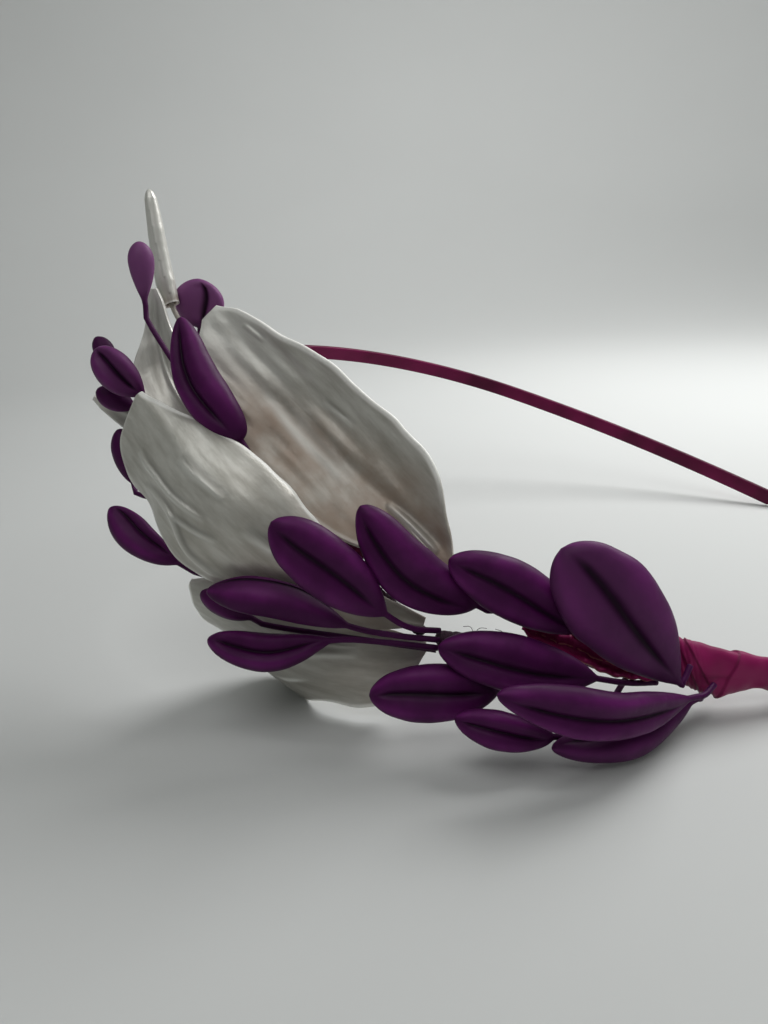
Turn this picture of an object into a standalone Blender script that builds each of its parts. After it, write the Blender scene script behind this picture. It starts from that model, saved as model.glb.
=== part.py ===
"""Headband fascinator: a slim ribbon-covered hoop with silver leaves and purple pods wired to one side.

The pieces are laid out in the hoop's own frame, in millimetres: X runs from the middle of the crown
towards the tips, Y across the head (the decorated side is at -Y), and Z out of the hoop's plane.
An empty then lays the whole thing down the way it rests on a table.
"""
import math

import bmesh
import bpy
import numpy as np
from mathutils import Vector

MM = 0.001
GAP = 0.3

# Hoop
BAND_WIDTH = 4.0
BAND_THICKNESS = 1.7
CROWN_HALF_WIDTH = 67.0
CROWN_DEPTH = 68.0
ARM_LENGTH = 82.0
ARM_DRAW_IN = 17.8

# Resting pose
REST_SLOPE_DEG = 19.0
REST_SHIFT = (-70.7, 10.3, 50.7)

# Ribbon binding on the near arm, a sleeve that is thicker where it takes in the wires
BINDING_X = (119.0, 143.0)
BINDING_SLANT = 0.75
BINDING_BORE = (2.5, 1.3)
BINDING_SIDES = 16
BINDING_RINGS = 9
BINDING_SECTIONS = [
    # share of the length, half-height, half-thickness, drop below the band, reach outside the band
    (0.00, 4.0, 2.4, 1.0, 0.8),
    (0.25, 4.6, 2.7, 1.6, 0.9),
    (0.45, 4.1, 2.5, 1.0, 0.7),
    (0.75, 3.2, 2.0, 0.2, 0.2),
    (1.00, 3.0, 1.9, 0.0, 0.0),
]

# Pleated end of the ribbon, along the outside of the band
RIBBON_END_ROUTE = [(96.5, -67.0, -2.0), (106.0, -67.0, -1.5), (113.0, -66.5, -2.0), (119.0, -64.5, -2.5)]
RIBBON_END_WIDTH = 3.0
RIBBON_END_PLEATS = 2
RIBBON_END_PLEAT_DEPTH = 0.3
RIBBON_END_THICKNESS = 0.6

# Wires, bound together in tape
BRANCH_RADIUS = 1.2
BRANCH_ROUTE = [
    (120.5, -61.0, -4.0),
    (116.0, -63.5, -4.0),
    (104.0, -65.5, -5.5),
    (92.5, -69.5, -6.5),
    (84.0, -73.0, -7.5),
]
UPPER_BRANCH_RADIUS = 1.0
UPPER_BRANCH_ROUTE = [
    (82.0, -72.5, -8.0),
    (76.0, -71.0, -6.5),
    (68.0, -70.5, -4.0),
    (60.0, -70.5, -1.0),
    (50.0, -70.5, 3.0),
    (44.0, -69.5, 6.0),
]
NECK_RADIUS = 0.5

# Leaves and pods are set out as they are seen from this direction
TOWARD_VIEWER = (0.20, -0.88, 0.43)
LEAF_THICKNESS = 1.3
POD_SIDES = 12
POD_RINGS = 8
NECK_RING_SPACING = 8.0
NECK_CAP = 0.15
GROOVE_SHARE = 0.42
TIP_ROUNDNESS = 0.58

MATERIALS = {
    # name: (red, green, blue, roughness, metallic)
    "ribbon": (0.115, 0.013, 0.045, 0.55, 0.0),
    "tape": (0.040, 0.004, 0.022, 0.65, 0.0),
    "purple": (0.030, 0.006, 0.045, 0.45, 0.0),
    "silver": (0.420, 0.410, 0.370, 0.38, 0.55),
}

# Each neck is rooted on its carrier: along is a share of a wire's or the binding's length, or the
# place in X on the band; around is degrees about it (0 up, 90 towards the viewer, 180 down), or the
# height on the band. Base and tip are the pod's two ends. Face turns its groove, bow bends its middle
# towards the viewer, arch bends it upwards, and taper says how slender its base is.
POD_COLUMNS = ("name", "carrier", "along", "around", "base", "tip", "width", "depth", "face", "bow", "arch",
               "taper")
PODS = [
    ("pod_01", "binding", 0.15, 70, (122.0, -66.0, -1.5), (97.5, -69.0, 14.0), 15.0, 6.5, 8, 1.5, 0.0, 0.70),
    ("pod_02", "band", 108.0, 0.5, (105.5, -67.0, 1.0), (82.0, -73.0, 7.0), 9.5, 5.5, 0, 1.0, 0.5, 0.70),
    ("pod_03", "band", 92.5, -0.5, (88.5, -70.0, -0.5), (66.5, -76.0, 11.5), 9.5, 5.5, 0, 1.0, -3.0, 0.60),
    ("pod_04", "branch", 0.99, 45, (76.0, -78.5, -3.5), (55.5, -83.5, 7.0), 10.0, 5.5, 0, 1.0, 0.0, 0.75),
    ("pod_05", "branch", 0.99, 90, (71.0, -79.0, -8.0), (47.5, -84.5, -9.0), 6.5, 5.0, 0, 0.5, 1.5, 0.80),
    ("pod_06", "branch", 0.99, 135, (69.0, -79.5, -11.5), (49.0, -84.0, -18.5), 6.5, 5.0, -25, 0.5, -2.0, 0.80),
    ("pod_07", "branch", 0.05, 140, (110.5, -70.0, -4.5), (85.5, -79.0, -5.0), 9.0, 6.0, -10, 1.0, 0.0, 0.75),
    ("pod_08", "branch", 0.55, 120, (96.5, -75.5, -10.0), (78.0, -83.0, -16.0), 9.5, 6.0, 0, 1.0, 0.0, 0.65),
    ("pod_09", "branch", 0.16, 190, (106.5, -81.0, -10.5), (92.0, -84.5, -12.0), 6.0, 4.5, 0, 0.5, -0.5, 0.65),
    ("pod_10", "binding", 0.30, 95, (125.0, -67.0, -3.0), (96.5, -88.0, -2.5), 7.5, 5.0, 0, 3.5, -2.0, 0.80),
    ("pod_11", "binding", 0.20, 150, (126.0, -64.5, -5.0), (107.0, -83.0, -11.0), 6.0, 4.5, -20, 1.0, -2.0, 0.80),
    ("pod_12", "upper_branch", 0.90, 0, (39.5, -69.0, 12.5), (23.0, -63.5, 26.5), 8.0, 5.5, 0, 1.0, -2.0, 0.55),
    ("pod_13", "upper_branch", 0.99, 78, (12.5, -58.5, 25.0), (8.0, -56.0, 35.0), 4.8, 4.0, 0, 0.0, 0.0, 1.20),
    ("pod_14", "upper_branch", 0.93, -60, (15.5, -43.5, 20.0), (13.5, -43.5, 29.0), 10.5, 5.5, 10, 0.0, 0.0, 0.60),
    ("pod_15", "upper_branch", 0.99, 118, (18.5, -64.5, 10.5), (8.5, -66.0, 16.5), 7.0, 6.0, 0, 0.5, -0.5, 0.80),
    ("pod_16", "upper_branch", 0.99, 205, (6.5, -57.5, 11.0), (1.5, -57.0, 15.0), 4.0, 3.5, 0, 0.0, 0.0, 0.80),
    ("pod_17", "upper_branch", 0.99, 160, (15.5, -62.5, 6.5), (9.0, -65.5, 8.5), 4.5, 4.0, 0, 0.0, 0.0, 0.80),
    ("pod_18", "upper_branch", 0.85, 180, (18.0, -64.0, -7.5), (13.0, -63.0, 1.5), 5.0, 4.5, 0, 0.0, 0.0, 0.80),
    ("pod_19", "upper_branch", 0.60, 180, (35.5, -73.5, -14.0), (19.5, -72.5, -9.5), 6.5, 4.5, 0, 0.5, -1.0, 0.80),
    ("pod_20", "branch", 0.99, 180, (54.0, -79.0, -14.5), (44.0, -79.5, -13.5), 4.5, 4.0, 0, 0.0, 0.0, 0.80),
]

LEAF_COLUMNS = ("share", "left", "right", "left_cup", "right_cup", "twist")
LEAVES = {
    # name: midrib points, then sections from base to tip
    # sections: share of the length, left and right half-widths, the cup angle of each half, and twist
    "back_leaf": dict(
        across=8,
        midrib=[(82.0, -69.0, 3.0), (69.5, -65.0, 7.5), (49.0, -58.5, 15.5), (23.5, -55.0, 26.0)],
        sections=[
            (0.00, 1.5, 1.5, 15, 15, 0),
            (0.08, 2.5, 5.0, 30, 30, 0),
            (0.18, 8.0, 9.5, 35, 35, 0),
            (0.45, 11.0, 10.5, 40, 40, 0),
            (0.63, 11.5, 9.5, 35, 40, 0),
            (0.79, 11.0, 7.0, 25, 35, 0),
            (0.92, 7.5, 5.0, 15, 25, 0),
            (1.00, 1.5, 2.5, 10, 10, 0),
        ],
    ),
    "front_leaf": dict(
        across=8,
        midrib=[(81.5, -73.0, -5.5), (68.0, -74.5, -6.0), (46.0, -79.0, 4.0), (21.5, -70.5, 13.0)],
        sections=[
            (0.00, 0.8, 0.8, -10, -10, 0),
            (0.10, 2.5, 2.0, -20, -20, 0),
            (0.25, 6.5, 4.0, -30, -30, 5),
            (0.40, 11.5, 8.0, -45, -45, 5),
            (0.60, 14.0, 9.5, -45, -45, 0),
            (0.78, 11.5, 7.0, -45, -40, 0),
            (0.88, 10.5, 3.5, -35, -25, 0),
            (0.96, 6.0, 1.5, -20, -15, 0),
            (1.00, 1.0, 0.8, -10, -10, 0),
        ],
    ),
    "lower_leaf": dict(
        across=10,
        midrib=[(83.0, -72.0, -10.5), (74.0, -74.0, -14.0), (61.0, -74.0, -17.5), (38.0, -72.0, -18.0)],
        sections=[
            (0.00, 0.8, 0.8, -10, -10, 0),
            (0.15, 9.5, 3.0, -25, -25, 0),
            (0.35, 11.0, 4.0, -35, -30, 0),
            (0.64, 18.5, 4.0, -115, -30, 0),
            (0.82, 12.0, 3.5, -120, -20, 0),
            (1.00, 0.8, 0.8, -10, -10, 0),
        ],
    ),
    "twisted_leaf": dict(
        across=4,
        midrib=[(42.5, -67.5, 5.5), (21.0, -56.5, 9.5), (12.5, -52.5, 17.5), (8.5, -50.5, 26.0)],
        sections=[
            (0.00, 0.8, 0.8, 10, 10, 0),
            (0.35, 3.0, 2.0, 20, 20, 0),
            (0.65, 6.5, 3.5, 30, 30, 0),
            (0.85, 3.0, 3.0, 25, 25, 0),
            (1.00, 0.8, 0.8, 10, 10, 0),
        ],
    ),
    "small_leaf": dict(
        across=4,
        midrib=[(42.0, -69.0, 3.0), (24.0, -64.0, 3.0), (14.0, -60.5, 3.5), (6.5, -62.5, 5.5)],
        sections=[
            (0.00, 0.6, 0.6, 10, 10, 0),
            (0.60, 1.5, 1.5, 20, 20, 0),
            (0.80, 2.2, 2.2, 25, 25, 0),
            (1.00, 0.6, 0.6, 10, 10, 0),
        ],
    ),
}
LEAF_ROWS = 13

# Slender rolled leaf that stands up on its own wire
BUD_ROUTE = [(43.0, -67.0, 7.0), (31.0, -57.5, 13.5), (19.0, -50.0, 18.0), (10.0, -47.5, 25.0), (0.5, -44.0, 42.5)]
BUD_SECTIONS = [
    # share of the length, radius
    (0.00, 0.5),
    (0.60, 0.6),
    (0.66, 1.5),
    (0.72, 1.9),
    (0.88, 1.6),
    (0.97, 1.2),
    (1.00, 0.6),
]
WIRE_POINTS = 14


def clear_scene():
    for item in list(bpy.data.objects):
        bpy.data.objects.remove(item, do_unlink=True)


def make_material(name):
    red, green, blue, roughness, metallic = MATERIALS[name]
    material = bpy.data.materials.new(name)
    material.use_nodes = True
    shader = material.node_tree.nodes["Principled BSDF"]
    shader.inputs["Base Color"].default_value = (red, green, blue, 1.0)
    shader.inputs["Roughness"].default_value = roughness
    shader.inputs["Metallic"].default_value = metallic
    return material


def make_rest_pose(collection):
    """The empty that lays the hoop down: the crown is propped up and the tips are on the table."""
    rest = bpy.data.objects.new("rest_pose", None)
    collection.objects.link(rest)
    rest.rotation_euler = (0.0, math.radians(REST_SLOPE_DEG), 0.0)
    rest.location = Vector(REST_SHIFT) * MM
    return rest


def add_piece(name, data, material, place):
    piece = bpy.data.objects.new(name, data)
    place["collection"].objects.link(piece)
    piece.parent = place["rest"]
    data.materials.append(place["materials"][material])
    return piece


def spline_points(points, count):
    """Points at equal shares, or at the given shares, of a Catmull-Rom curve through the points."""
    knots = np.array(points, float)
    ends = np.vstack([2 * knots[0] - knots[1], knots, 2 * knots[-1] - knots[-2]])
    dense = []
    for k in range(len(knots) - 1):
        a, b, c, d = ends[k:k + 4]
        t = np.linspace(0, 1, 24, endpoint=False)[:, None]
        dense.append(0.5 * (2 * b + (c - a) * t + (2 * a - 5 * b + 4 * c - d) * t**2
                            + (3 * b - a - 3 * c + d) * t**3))
    dense = np.vstack(dense + [knots[-1:]])
    run = np.r_[0, np.cumsum(np.linalg.norm(np.diff(dense, axis=0), axis=1))]
    share = count if isinstance(count, np.ndarray) else np.linspace(0, 1, count)
    return np.stack([np.interp(share * run[-1], run, dense[:, k]) for k in range(3)], axis=1)


def unit(vectors):
    vectors = np.asarray(vectors, float)
    return vectors / np.linalg.norm(vectors, axis=-1, keepdims=True)


def frames(path, face):
    """Side and face directions along a path; the face is kept square to the path."""
    tangent = unit(np.gradient(path, axis=0))
    face = np.broadcast_to(np.asarray(face, float), path.shape)
    face = unit(face - (face * tangent).sum(axis=1, keepdims=True) * tangent)
    return np.cross(tangent, face), face


def turn(side, face, degrees):
    """Turn side and face about the path by an angle for each station."""
    angle = np.radians(np.broadcast_to(degrees, len(side)))[:, None]
    turned_side = side * np.cos(angle) + face * np.sin(angle)
    turned_face = face * np.cos(angle) - side * np.sin(angle)
    return turned_side, turned_face


def column(rows, index, share):
    """A section table's column, read at the given shares of the length and eased between rows."""
    table = np.array([(row[0], row[index]) for row in rows], float)
    slope = np.gradient(table[:, 1], table[:, 0])
    k = np.clip(np.searchsorted(table[:, 0], share) - 1, 0, len(table) - 2)
    step = table[k + 1, 0] - table[k, 0]
    t = (share - table[k, 0]) / step
    start, end = table[k, 1], table[k + 1, 1]
    return ((2 * t**3 - 3 * t**2 + 1) * start + (t**3 - 2 * t**2 + t) * step * slope[k]
            + (-2 * t**3 + 3 * t**2) * end + (t**3 - t**2) * step * slope[k + 1])


def hoop_line(station):
    """Centre line of the band at a run along it, measured from the middle of the crown to -Y.

    The crown is a quarter ellipse each side and the arms draw in towards the tips as a parabola.
    """
    quarter = np.linspace(0, math.pi / 2, 200)
    crown = np.stack([CROWN_DEPTH * (1 - np.cos(quarter)), CROWN_HALF_WIDTH * np.sin(quarter)], axis=1)
    share = np.linspace(0, 1, 120)[1:]
    arm = np.stack([CROWN_DEPTH + ARM_LENGTH * share, CROWN_HALF_WIDTH - ARM_DRAW_IN * share**2], axis=1)
    line = np.vstack([crown, arm])
    run = np.r_[0, np.cumsum(np.linalg.norm(np.diff(line, axis=0), axis=1))]
    station = np.asarray(station, float)
    x = np.interp(np.abs(station), run, line[:, 0])
    y = -np.sign(station) * np.interp(np.abs(station), run, line[:, 1])
    return np.stack([x, y, np.zeros_like(x)], axis=-1), run[-1]


def near_arm(x):
    """Centre of the decorated arm at a place in X, its direction, and the direction out of the hoop."""
    share = (np.asarray(x, float) - CROWN_DEPTH) / ARM_LENGTH
    centre = np.stack([x, -(CROWN_HALF_WIDTH - ARM_DRAW_IN * share**2), np.zeros_like(share)], axis=-1)
    slope = 2 * ARM_DRAW_IN * share / ARM_LENGTH
    along = unit(np.stack([np.ones_like(slope), slope, np.zeros_like(slope)], axis=-1))
    outward = np.stack([along[..., 1], -along[..., 0], np.zeros_like(slope)], axis=-1)
    return centre, along, outward


def binding_surface(share, around, margin=0.0):
    """A point on the outside of the binding: an oval about the band and the wires under it."""
    start, end = BINDING_X
    centre, along, outward = near_arm(start + (end - start) * share)
    high, thick, drop, reach = (column(BINDING_SECTIONS, k, share) for k in range(1, 5))
    up = np.cos(around) * (high + margin) - drop
    out = np.sin(around) * (thick + margin) + reach
    return binding_point(centre, along, outward, share, up, out)


def binding_point(centre, along, outward, share, up, out):
    """Place a point of a section; the sections lean at the wires' end, so that its mouth is cut aslant."""
    lean = -BINDING_SLANT * up * (1 - share)
    height = np.stack([np.zeros_like(up), np.zeros_like(up), up], axis=-1)
    return centre + along * lean[..., None] + outward * out[..., None] + height


def seat(carrier, along, around):
    """Where a neck is rooted: clear of its carrier's surface by the gap."""
    clear = GAP + NECK_RADIUS
    if carrier == "band":
        centre, _, outward = near_arm(np.array(along))
        return centre + outward * (BAND_THICKNESS / 2 + clear) + np.array((0.0, 0.0, around))
    angle = math.radians(around)
    if carrier == "binding":
        return binding_surface(np.array(along), np.array(angle), clear)
    route, radius = {
        "branch": (BRANCH_ROUTE, BRANCH_RADIUS),
        "upper_branch": (UPPER_BRANCH_ROUTE, UPPER_BRANCH_RADIUS),
    }[carrier]
    stops = np.clip(np.array((along - 0.01, along, along + 0.01)), 0, 1)
    path = spline_points(route, stops)
    side, face = frames(path, TOWARD_VIEWER)
    return path[1] + (side[1] * math.cos(angle) + face[1] * math.sin(angle)) * (radius + clear)


def fill_poly_spline(curve, points, radii=None):
    spline = curve.splines.new("POLY")
    spline.points.add(len(points) - 1)
    for k, point in enumerate(points):
        spline.points[k].co = (*(Vector(point) * MM), 1.0)
        if radii is not None:
            spline.points[k].radius = radii[k]


def make_band(place):
    """The hoop: a flat strip standing on edge, with rounded edges, along the whole centre line."""
    half_run = hoop_line(0.0)[1]
    points = hoop_line(np.linspace(-half_run, half_run, 61))[0]
    curve = bpy.data.curves.new("band", "CURVE")
    curve.dimensions = "3D"
    curve.twist_mode = "Z_UP"
    curve.bevel_depth = BAND_THICKNESS / 2 * MM
    curve.bevel_resolution = 1
    curve.extrude = (BAND_WIDTH - BAND_THICKNESS) / 2 * MM
    curve.use_fill_caps = True
    fill_poly_spline(curve, points)
    return add_piece("band", curve, "ribbon", place)


def make_tube(name, route, radius, material, place, sections=None):
    """A round wire along a smooth route, of one radius or of the radii in a section table."""
    curve = bpy.data.curves.new(name, "CURVE")
    curve.dimensions = "3D"
    curve.bevel_resolution = 2
    curve.use_fill_caps = True
    share = np.linspace(0, 1, WIRE_POINTS)
    radii = None
    if sections is not None:
        share = np.union1d(np.linspace(0, 1, WIRE_POINTS), [row[0] for row in sections])
        radii = np.interp(share, [row[0] for row in sections], [row[1] for row in sections]) / radius
    curve.bevel_depth = radius * MM
    fill_poly_spline(curve, spline_points(route, share), radii)
    return add_piece(name, curve, material, place)


def finish_mesh(name, cage, smooth_angle):
    mesh = bpy.data.meshes.new(name)
    cage.to_mesh(mesh)
    cage.free()
    mesh.shade_smooth()
    mesh.set_sharp_from_angle(angle=math.radians(smooth_angle))
    return mesh


def grid_shares(across, along):
    """A flat grid, and its points as places from -1 to 1 across it and from 0 to 1 along it."""
    cage = bmesh.new()
    bmesh.ops.create_grid(cage, x_segments=across, y_segments=along, size=0.5)
    shares = np.array([(vertex.co.x * 2, vertex.co.y + 0.5) for vertex in cage.verts])
    return cage, shares[:, 0], shares[:, 1]


def set_points(cage, points):
    for vertex, point in zip(cage.verts, points):
        vertex.co = Vector(point) * MM


def add_wall(piece, thickness):
    wall = piece.modifiers.new("wall", "SOLIDIFY")
    wall.thickness = thickness * MM
    wall.offset = 0.0


def along_route(route, share):
    """Points, sides and faces of a route at the given shares of its length."""
    stops = np.linspace(0, 1, 61)
    path = spline_points(route, stops)
    side, face = frames(path, TOWARD_VIEWER)
    read = [np.stack([np.interp(share, stops, line[:, k]) for k in range(3)], axis=1)
            for line in (path, side, face)]
    return read[0], unit(read[1]), unit(read[2])


def make_binding(place):
    """The wrapped sleeve: a loft of ovals along the arm, and back through it round the band."""
    share, around = np.meshgrid(np.linspace(0, 1, BINDING_RINGS),
                                np.linspace(0, 2 * math.pi, BINDING_SIDES, endpoint=False), indexing="ij")
    start, end = BINDING_X
    outside = binding_surface(share, around)
    centre, along, outward = near_arm(start + (end - start) * share)
    high, thick = BINDING_BORE
    inside = binding_point(centre, along, outward, share, np.cos(around) * high, np.sin(around) * thick)
    rings = np.concatenate([outside, inside[::-1]])
    cage = bmesh.new()
    rows = [[cage.verts.new(Vector(point) * MM) for point in ring] for ring in rings]
    for k, ring in enumerate(rows):
        following = rows[(k + 1) % len(rows)]
        for n in range(BINDING_SIDES):
            beside = (n + 1) % BINDING_SIDES
            cage.faces.new((ring[n], ring[beside], following[beside], following[n]))
    bmesh.ops.recalc_face_normals(cage, faces=cage.faces)
    return add_piece("binding", finish_mesh("binding", cage, 40), "ribbon", place)


def make_ribbon_end(place):
    """A pleated strip: the pleats are waves across it, which die out towards its two ends."""
    cage, across, along = grid_shares(8, 10)
    centre, side, face = along_route(RIBBON_END_ROUTE, along)
    wave = np.sin(across * math.pi * RIBBON_END_PLEATS) * np.sin(along * math.pi)
    points = centre + side * (across * RIBBON_END_WIDTH / 2)[:, None]
    set_points(cage, points + face * (wave * RIBBON_END_PLEAT_DEPTH)[:, None])
    piece = add_piece("ribbon_end", finish_mesh("ribbon_end", cage, 40), "ribbon", place)
    add_wall(piece, RIBBON_END_THICKNESS)
    return piece


def make_leaf(name, shape, place):
    """A cupped blade: at each section both halves leave the midrib and turn up by the cup angle."""
    cage, across, along = grid_shares(shape["across"], LEAF_ROWS)
    centre, side, face = along_route(shape["midrib"], along)
    left, right, left_cup, right_cup, twist = (column(shape["sections"], LEAF_COLUMNS.index(key), along)
                                               for key in LEAF_COLUMNS[1:])
    side, face = turn(side, face, twist)
    half = np.where(across < 0, left, right)
    bend = np.radians(np.where(across < 0, left_cup, right_cup))
    out = np.sign(across) * np.sin(bend * np.abs(across)) / bend * half
    lift = (1 - np.cos(bend * np.abs(across))) / bend * half
    set_points(cage, centre + side * out[:, None] + face * lift[:, None])
    piece = add_piece(name, finish_mesh(name, cage, 40), "silver", place)
    add_wall(piece, LEAF_THICKNESS)
    return piece


def pod_profile(share, taper):
    """Half-width of a pod along its length: a base tapered by the given power, and a round tip."""
    peak = taper / (taper + TIP_ROUNDNESS)
    return (share / peak)**taper * ((1 - share) / (1 - peak))**TIP_ROUNDNESS


def make_pod(row, place):
    """One double-lobed pod on its wire neck: a ball drawn out along its axis and creased down its face."""
    spec = dict(zip(POD_COLUMNS, row))
    base, tip = np.array(spec["base"]), np.array(spec["tip"])
    root = seat(spec["carrier"], spec["along"], spec["around"])
    toward = np.array(TOWARD_VIEWER)
    axis = unit(tip - base)
    up = unit(toward - (toward @ axis) * axis)
    middle = (base + tip) / 2 + up * spec["bow"] + np.cross(axis, up) * spec["arch"]
    neck_run, pod_run = np.linalg.norm(base - root), np.linalg.norm(tip - base)
    neck_rings = 2 + int(neck_run / NECK_RING_SPACING)
    neck_stops = np.linspace(NECK_CAP, neck_run, neck_rings, endpoint=False)
    pod_stops = neck_run + pod_run * (1 - np.cos(np.linspace(0, math.pi, POD_RINGS + 1))) / 2
    stops = np.r_[0, neck_stops, pod_stops]
    path = spline_points([root, base, middle, tip], stops / stops[-1])
    side, face = frames(path, toward)
    side, face = turn(side, face, spec["face"])
    pod_share = np.clip((stops - neck_run) / pod_run, 0, 1)
    half_width = np.maximum(pod_profile(pod_share, spec["taper"]) * spec["width"] / 2, NECK_RADIUS)
    half_depth = np.maximum(pod_profile(pod_share, spec["taper"]) * spec["depth"] / 2, NECK_RADIUS)
    half_width[[0, -1]] = half_depth[[0, -1]] = 0.0
    crease = GROOVE_SHARE * np.sin(math.pi * np.clip((pod_share - 0.12) / 0.76, 0, 1))**0.6
    last = len(stops) - 1
    cage = bmesh.new()
    bmesh.ops.create_uvsphere(cage, u_segments=POD_SIDES, v_segments=last, radius=1)
    for vertex in cage.verts:
        ring = last - round(math.acos(max(-1.0, min(1.0, vertex.co.z))) / math.pi * last)
        around = math.atan2(vertex.co.y, vertex.co.x)
        around += 0.3 * math.cos(around)
        deep = math.sin(around)
        if deep > 0.999:
            deep *= 1 - crease[ring]
        offset = side[ring] * math.cos(around) * half_width[ring] + face[ring] * deep * half_depth[ring]
        vertex.co = Vector(path[ring] + offset) * MM
    bmesh.ops.reverse_faces(cage, faces=cage.faces)
    return add_piece(spec["name"], finish_mesh(spec["name"], cage, 60), "purple", place)


def main():
    clear_scene()
    collection = bpy.data.collections.new("headband_fascinator")
    bpy.context.scene.collection.children.link(collection)
    place = {
        "collection": collection,
        "rest": make_rest_pose(collection),
        "materials": {name: make_material(name) for name in MATERIALS},
    }
    make_band(place)
    make_binding(place)
    make_ribbon_end(place)
    make_tube("branch", BRANCH_ROUTE, BRANCH_RADIUS, "tape", place)
    make_tube("upper_branch", UPPER_BRANCH_ROUTE, UPPER_BRANCH_RADIUS, "tape", place)
    make_tube("silver_bud", BUD_ROUTE, NECK_RADIUS, "silver", place, BUD_SECTIONS)
    for name, shape in LEAVES.items():
        make_leaf(name, shape, place)
    for row in PODS:
        make_pod(row, place)


main()
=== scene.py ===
"""Headband fascinator: the surfaces of a ribbon-covered hoop with silver leaves and purple pods.

The pieces are laid out in the hoop's own frame: X runs from the middle of the crown to the tips,
Y across the head, with the spray at -Y, and Z out of the hoop's plane. lay_down() then turns and
shifts every point onto the table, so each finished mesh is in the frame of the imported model.
The placement tables are in millimetres, and everything else is in metres.
"""
import math

import bpy
import numpy as np
from mathutils import Matrix


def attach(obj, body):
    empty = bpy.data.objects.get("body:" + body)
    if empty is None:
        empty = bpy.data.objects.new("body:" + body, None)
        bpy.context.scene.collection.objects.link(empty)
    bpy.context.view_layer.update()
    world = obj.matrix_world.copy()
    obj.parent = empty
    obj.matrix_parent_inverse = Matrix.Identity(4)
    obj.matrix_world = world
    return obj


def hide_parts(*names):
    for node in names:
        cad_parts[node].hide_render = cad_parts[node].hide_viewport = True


bl_info = {
    "name": "Headband Fascinator",
    "version": (1, 0, 0),
    "blender": (4, 5, 0),
    "location": "3D View > Sidebar > Fascinator",
    "description": "Builds a ribbon-covered headband with silver leaves and purple pods on wires",
    "category": "Object",
}

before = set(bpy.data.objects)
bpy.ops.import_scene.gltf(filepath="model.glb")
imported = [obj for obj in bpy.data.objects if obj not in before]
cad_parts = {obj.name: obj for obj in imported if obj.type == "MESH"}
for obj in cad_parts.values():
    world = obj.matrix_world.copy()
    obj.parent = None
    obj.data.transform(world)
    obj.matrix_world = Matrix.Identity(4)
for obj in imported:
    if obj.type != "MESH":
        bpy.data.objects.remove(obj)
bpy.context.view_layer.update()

MM = 0.001
BODY = "root"

# Leaves and pods are set out as they are seen from this direction
TOWARD_VIEWER = np.array((0.20, -0.88, 0.43))
# How far a neck stays clear of what it is rooted on, and the share of its length at which a tip closes
GAP = 0.3 * MM
TIP_CLOSES_FROM = 0.985

# Ribbon binding: a sleeve round the near arm, thicker where it takes in the wires
BINDING_X = (119.0, 143.0)
BINDING_SLANT = 0.75
BINDING_COLUMNS = ("share", "height", "thickness", "drop", "reach")
BINDING_SECTIONS = [
    (0.00, 4.0, 2.4, 1.0, 0.8),
    (0.25, 4.6, 2.7, 1.6, 0.9),
    (0.45, 4.1, 2.5, 1.0, 0.7),
    (0.75, 3.2, 2.0, 0.2, 0.2),
    (1.00, 3.0, 1.9, 0.0, 0.0),
]

RIBBON_END_ROUTE = [(96.5, -67.0, -2.0), (106.0, -67.0, -1.5), (113.0, -66.5, -2.0), (119.0, -64.5, -2.5)]

UPPER = "upper_branch"
WIRE_ROUTES = {
    "branch": [
        (120.5, -61.0, -4.0),
        (116.0, -63.5, -4.0),
        (104.0, -65.5, -5.5),
        (92.5, -69.5, -6.5),
        (84.0, -73.0, -7.5),
    ],
    UPPER: [
        (82.0, -72.5, -8.0),
        (76.0, -71.0, -6.5),
        (68.0, -70.5, -4.0),
        (60.0, -70.5, -1.0),
        (50.0, -70.5, 3.0),
        (44.0, -69.5, 6.0),
    ],
}

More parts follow.
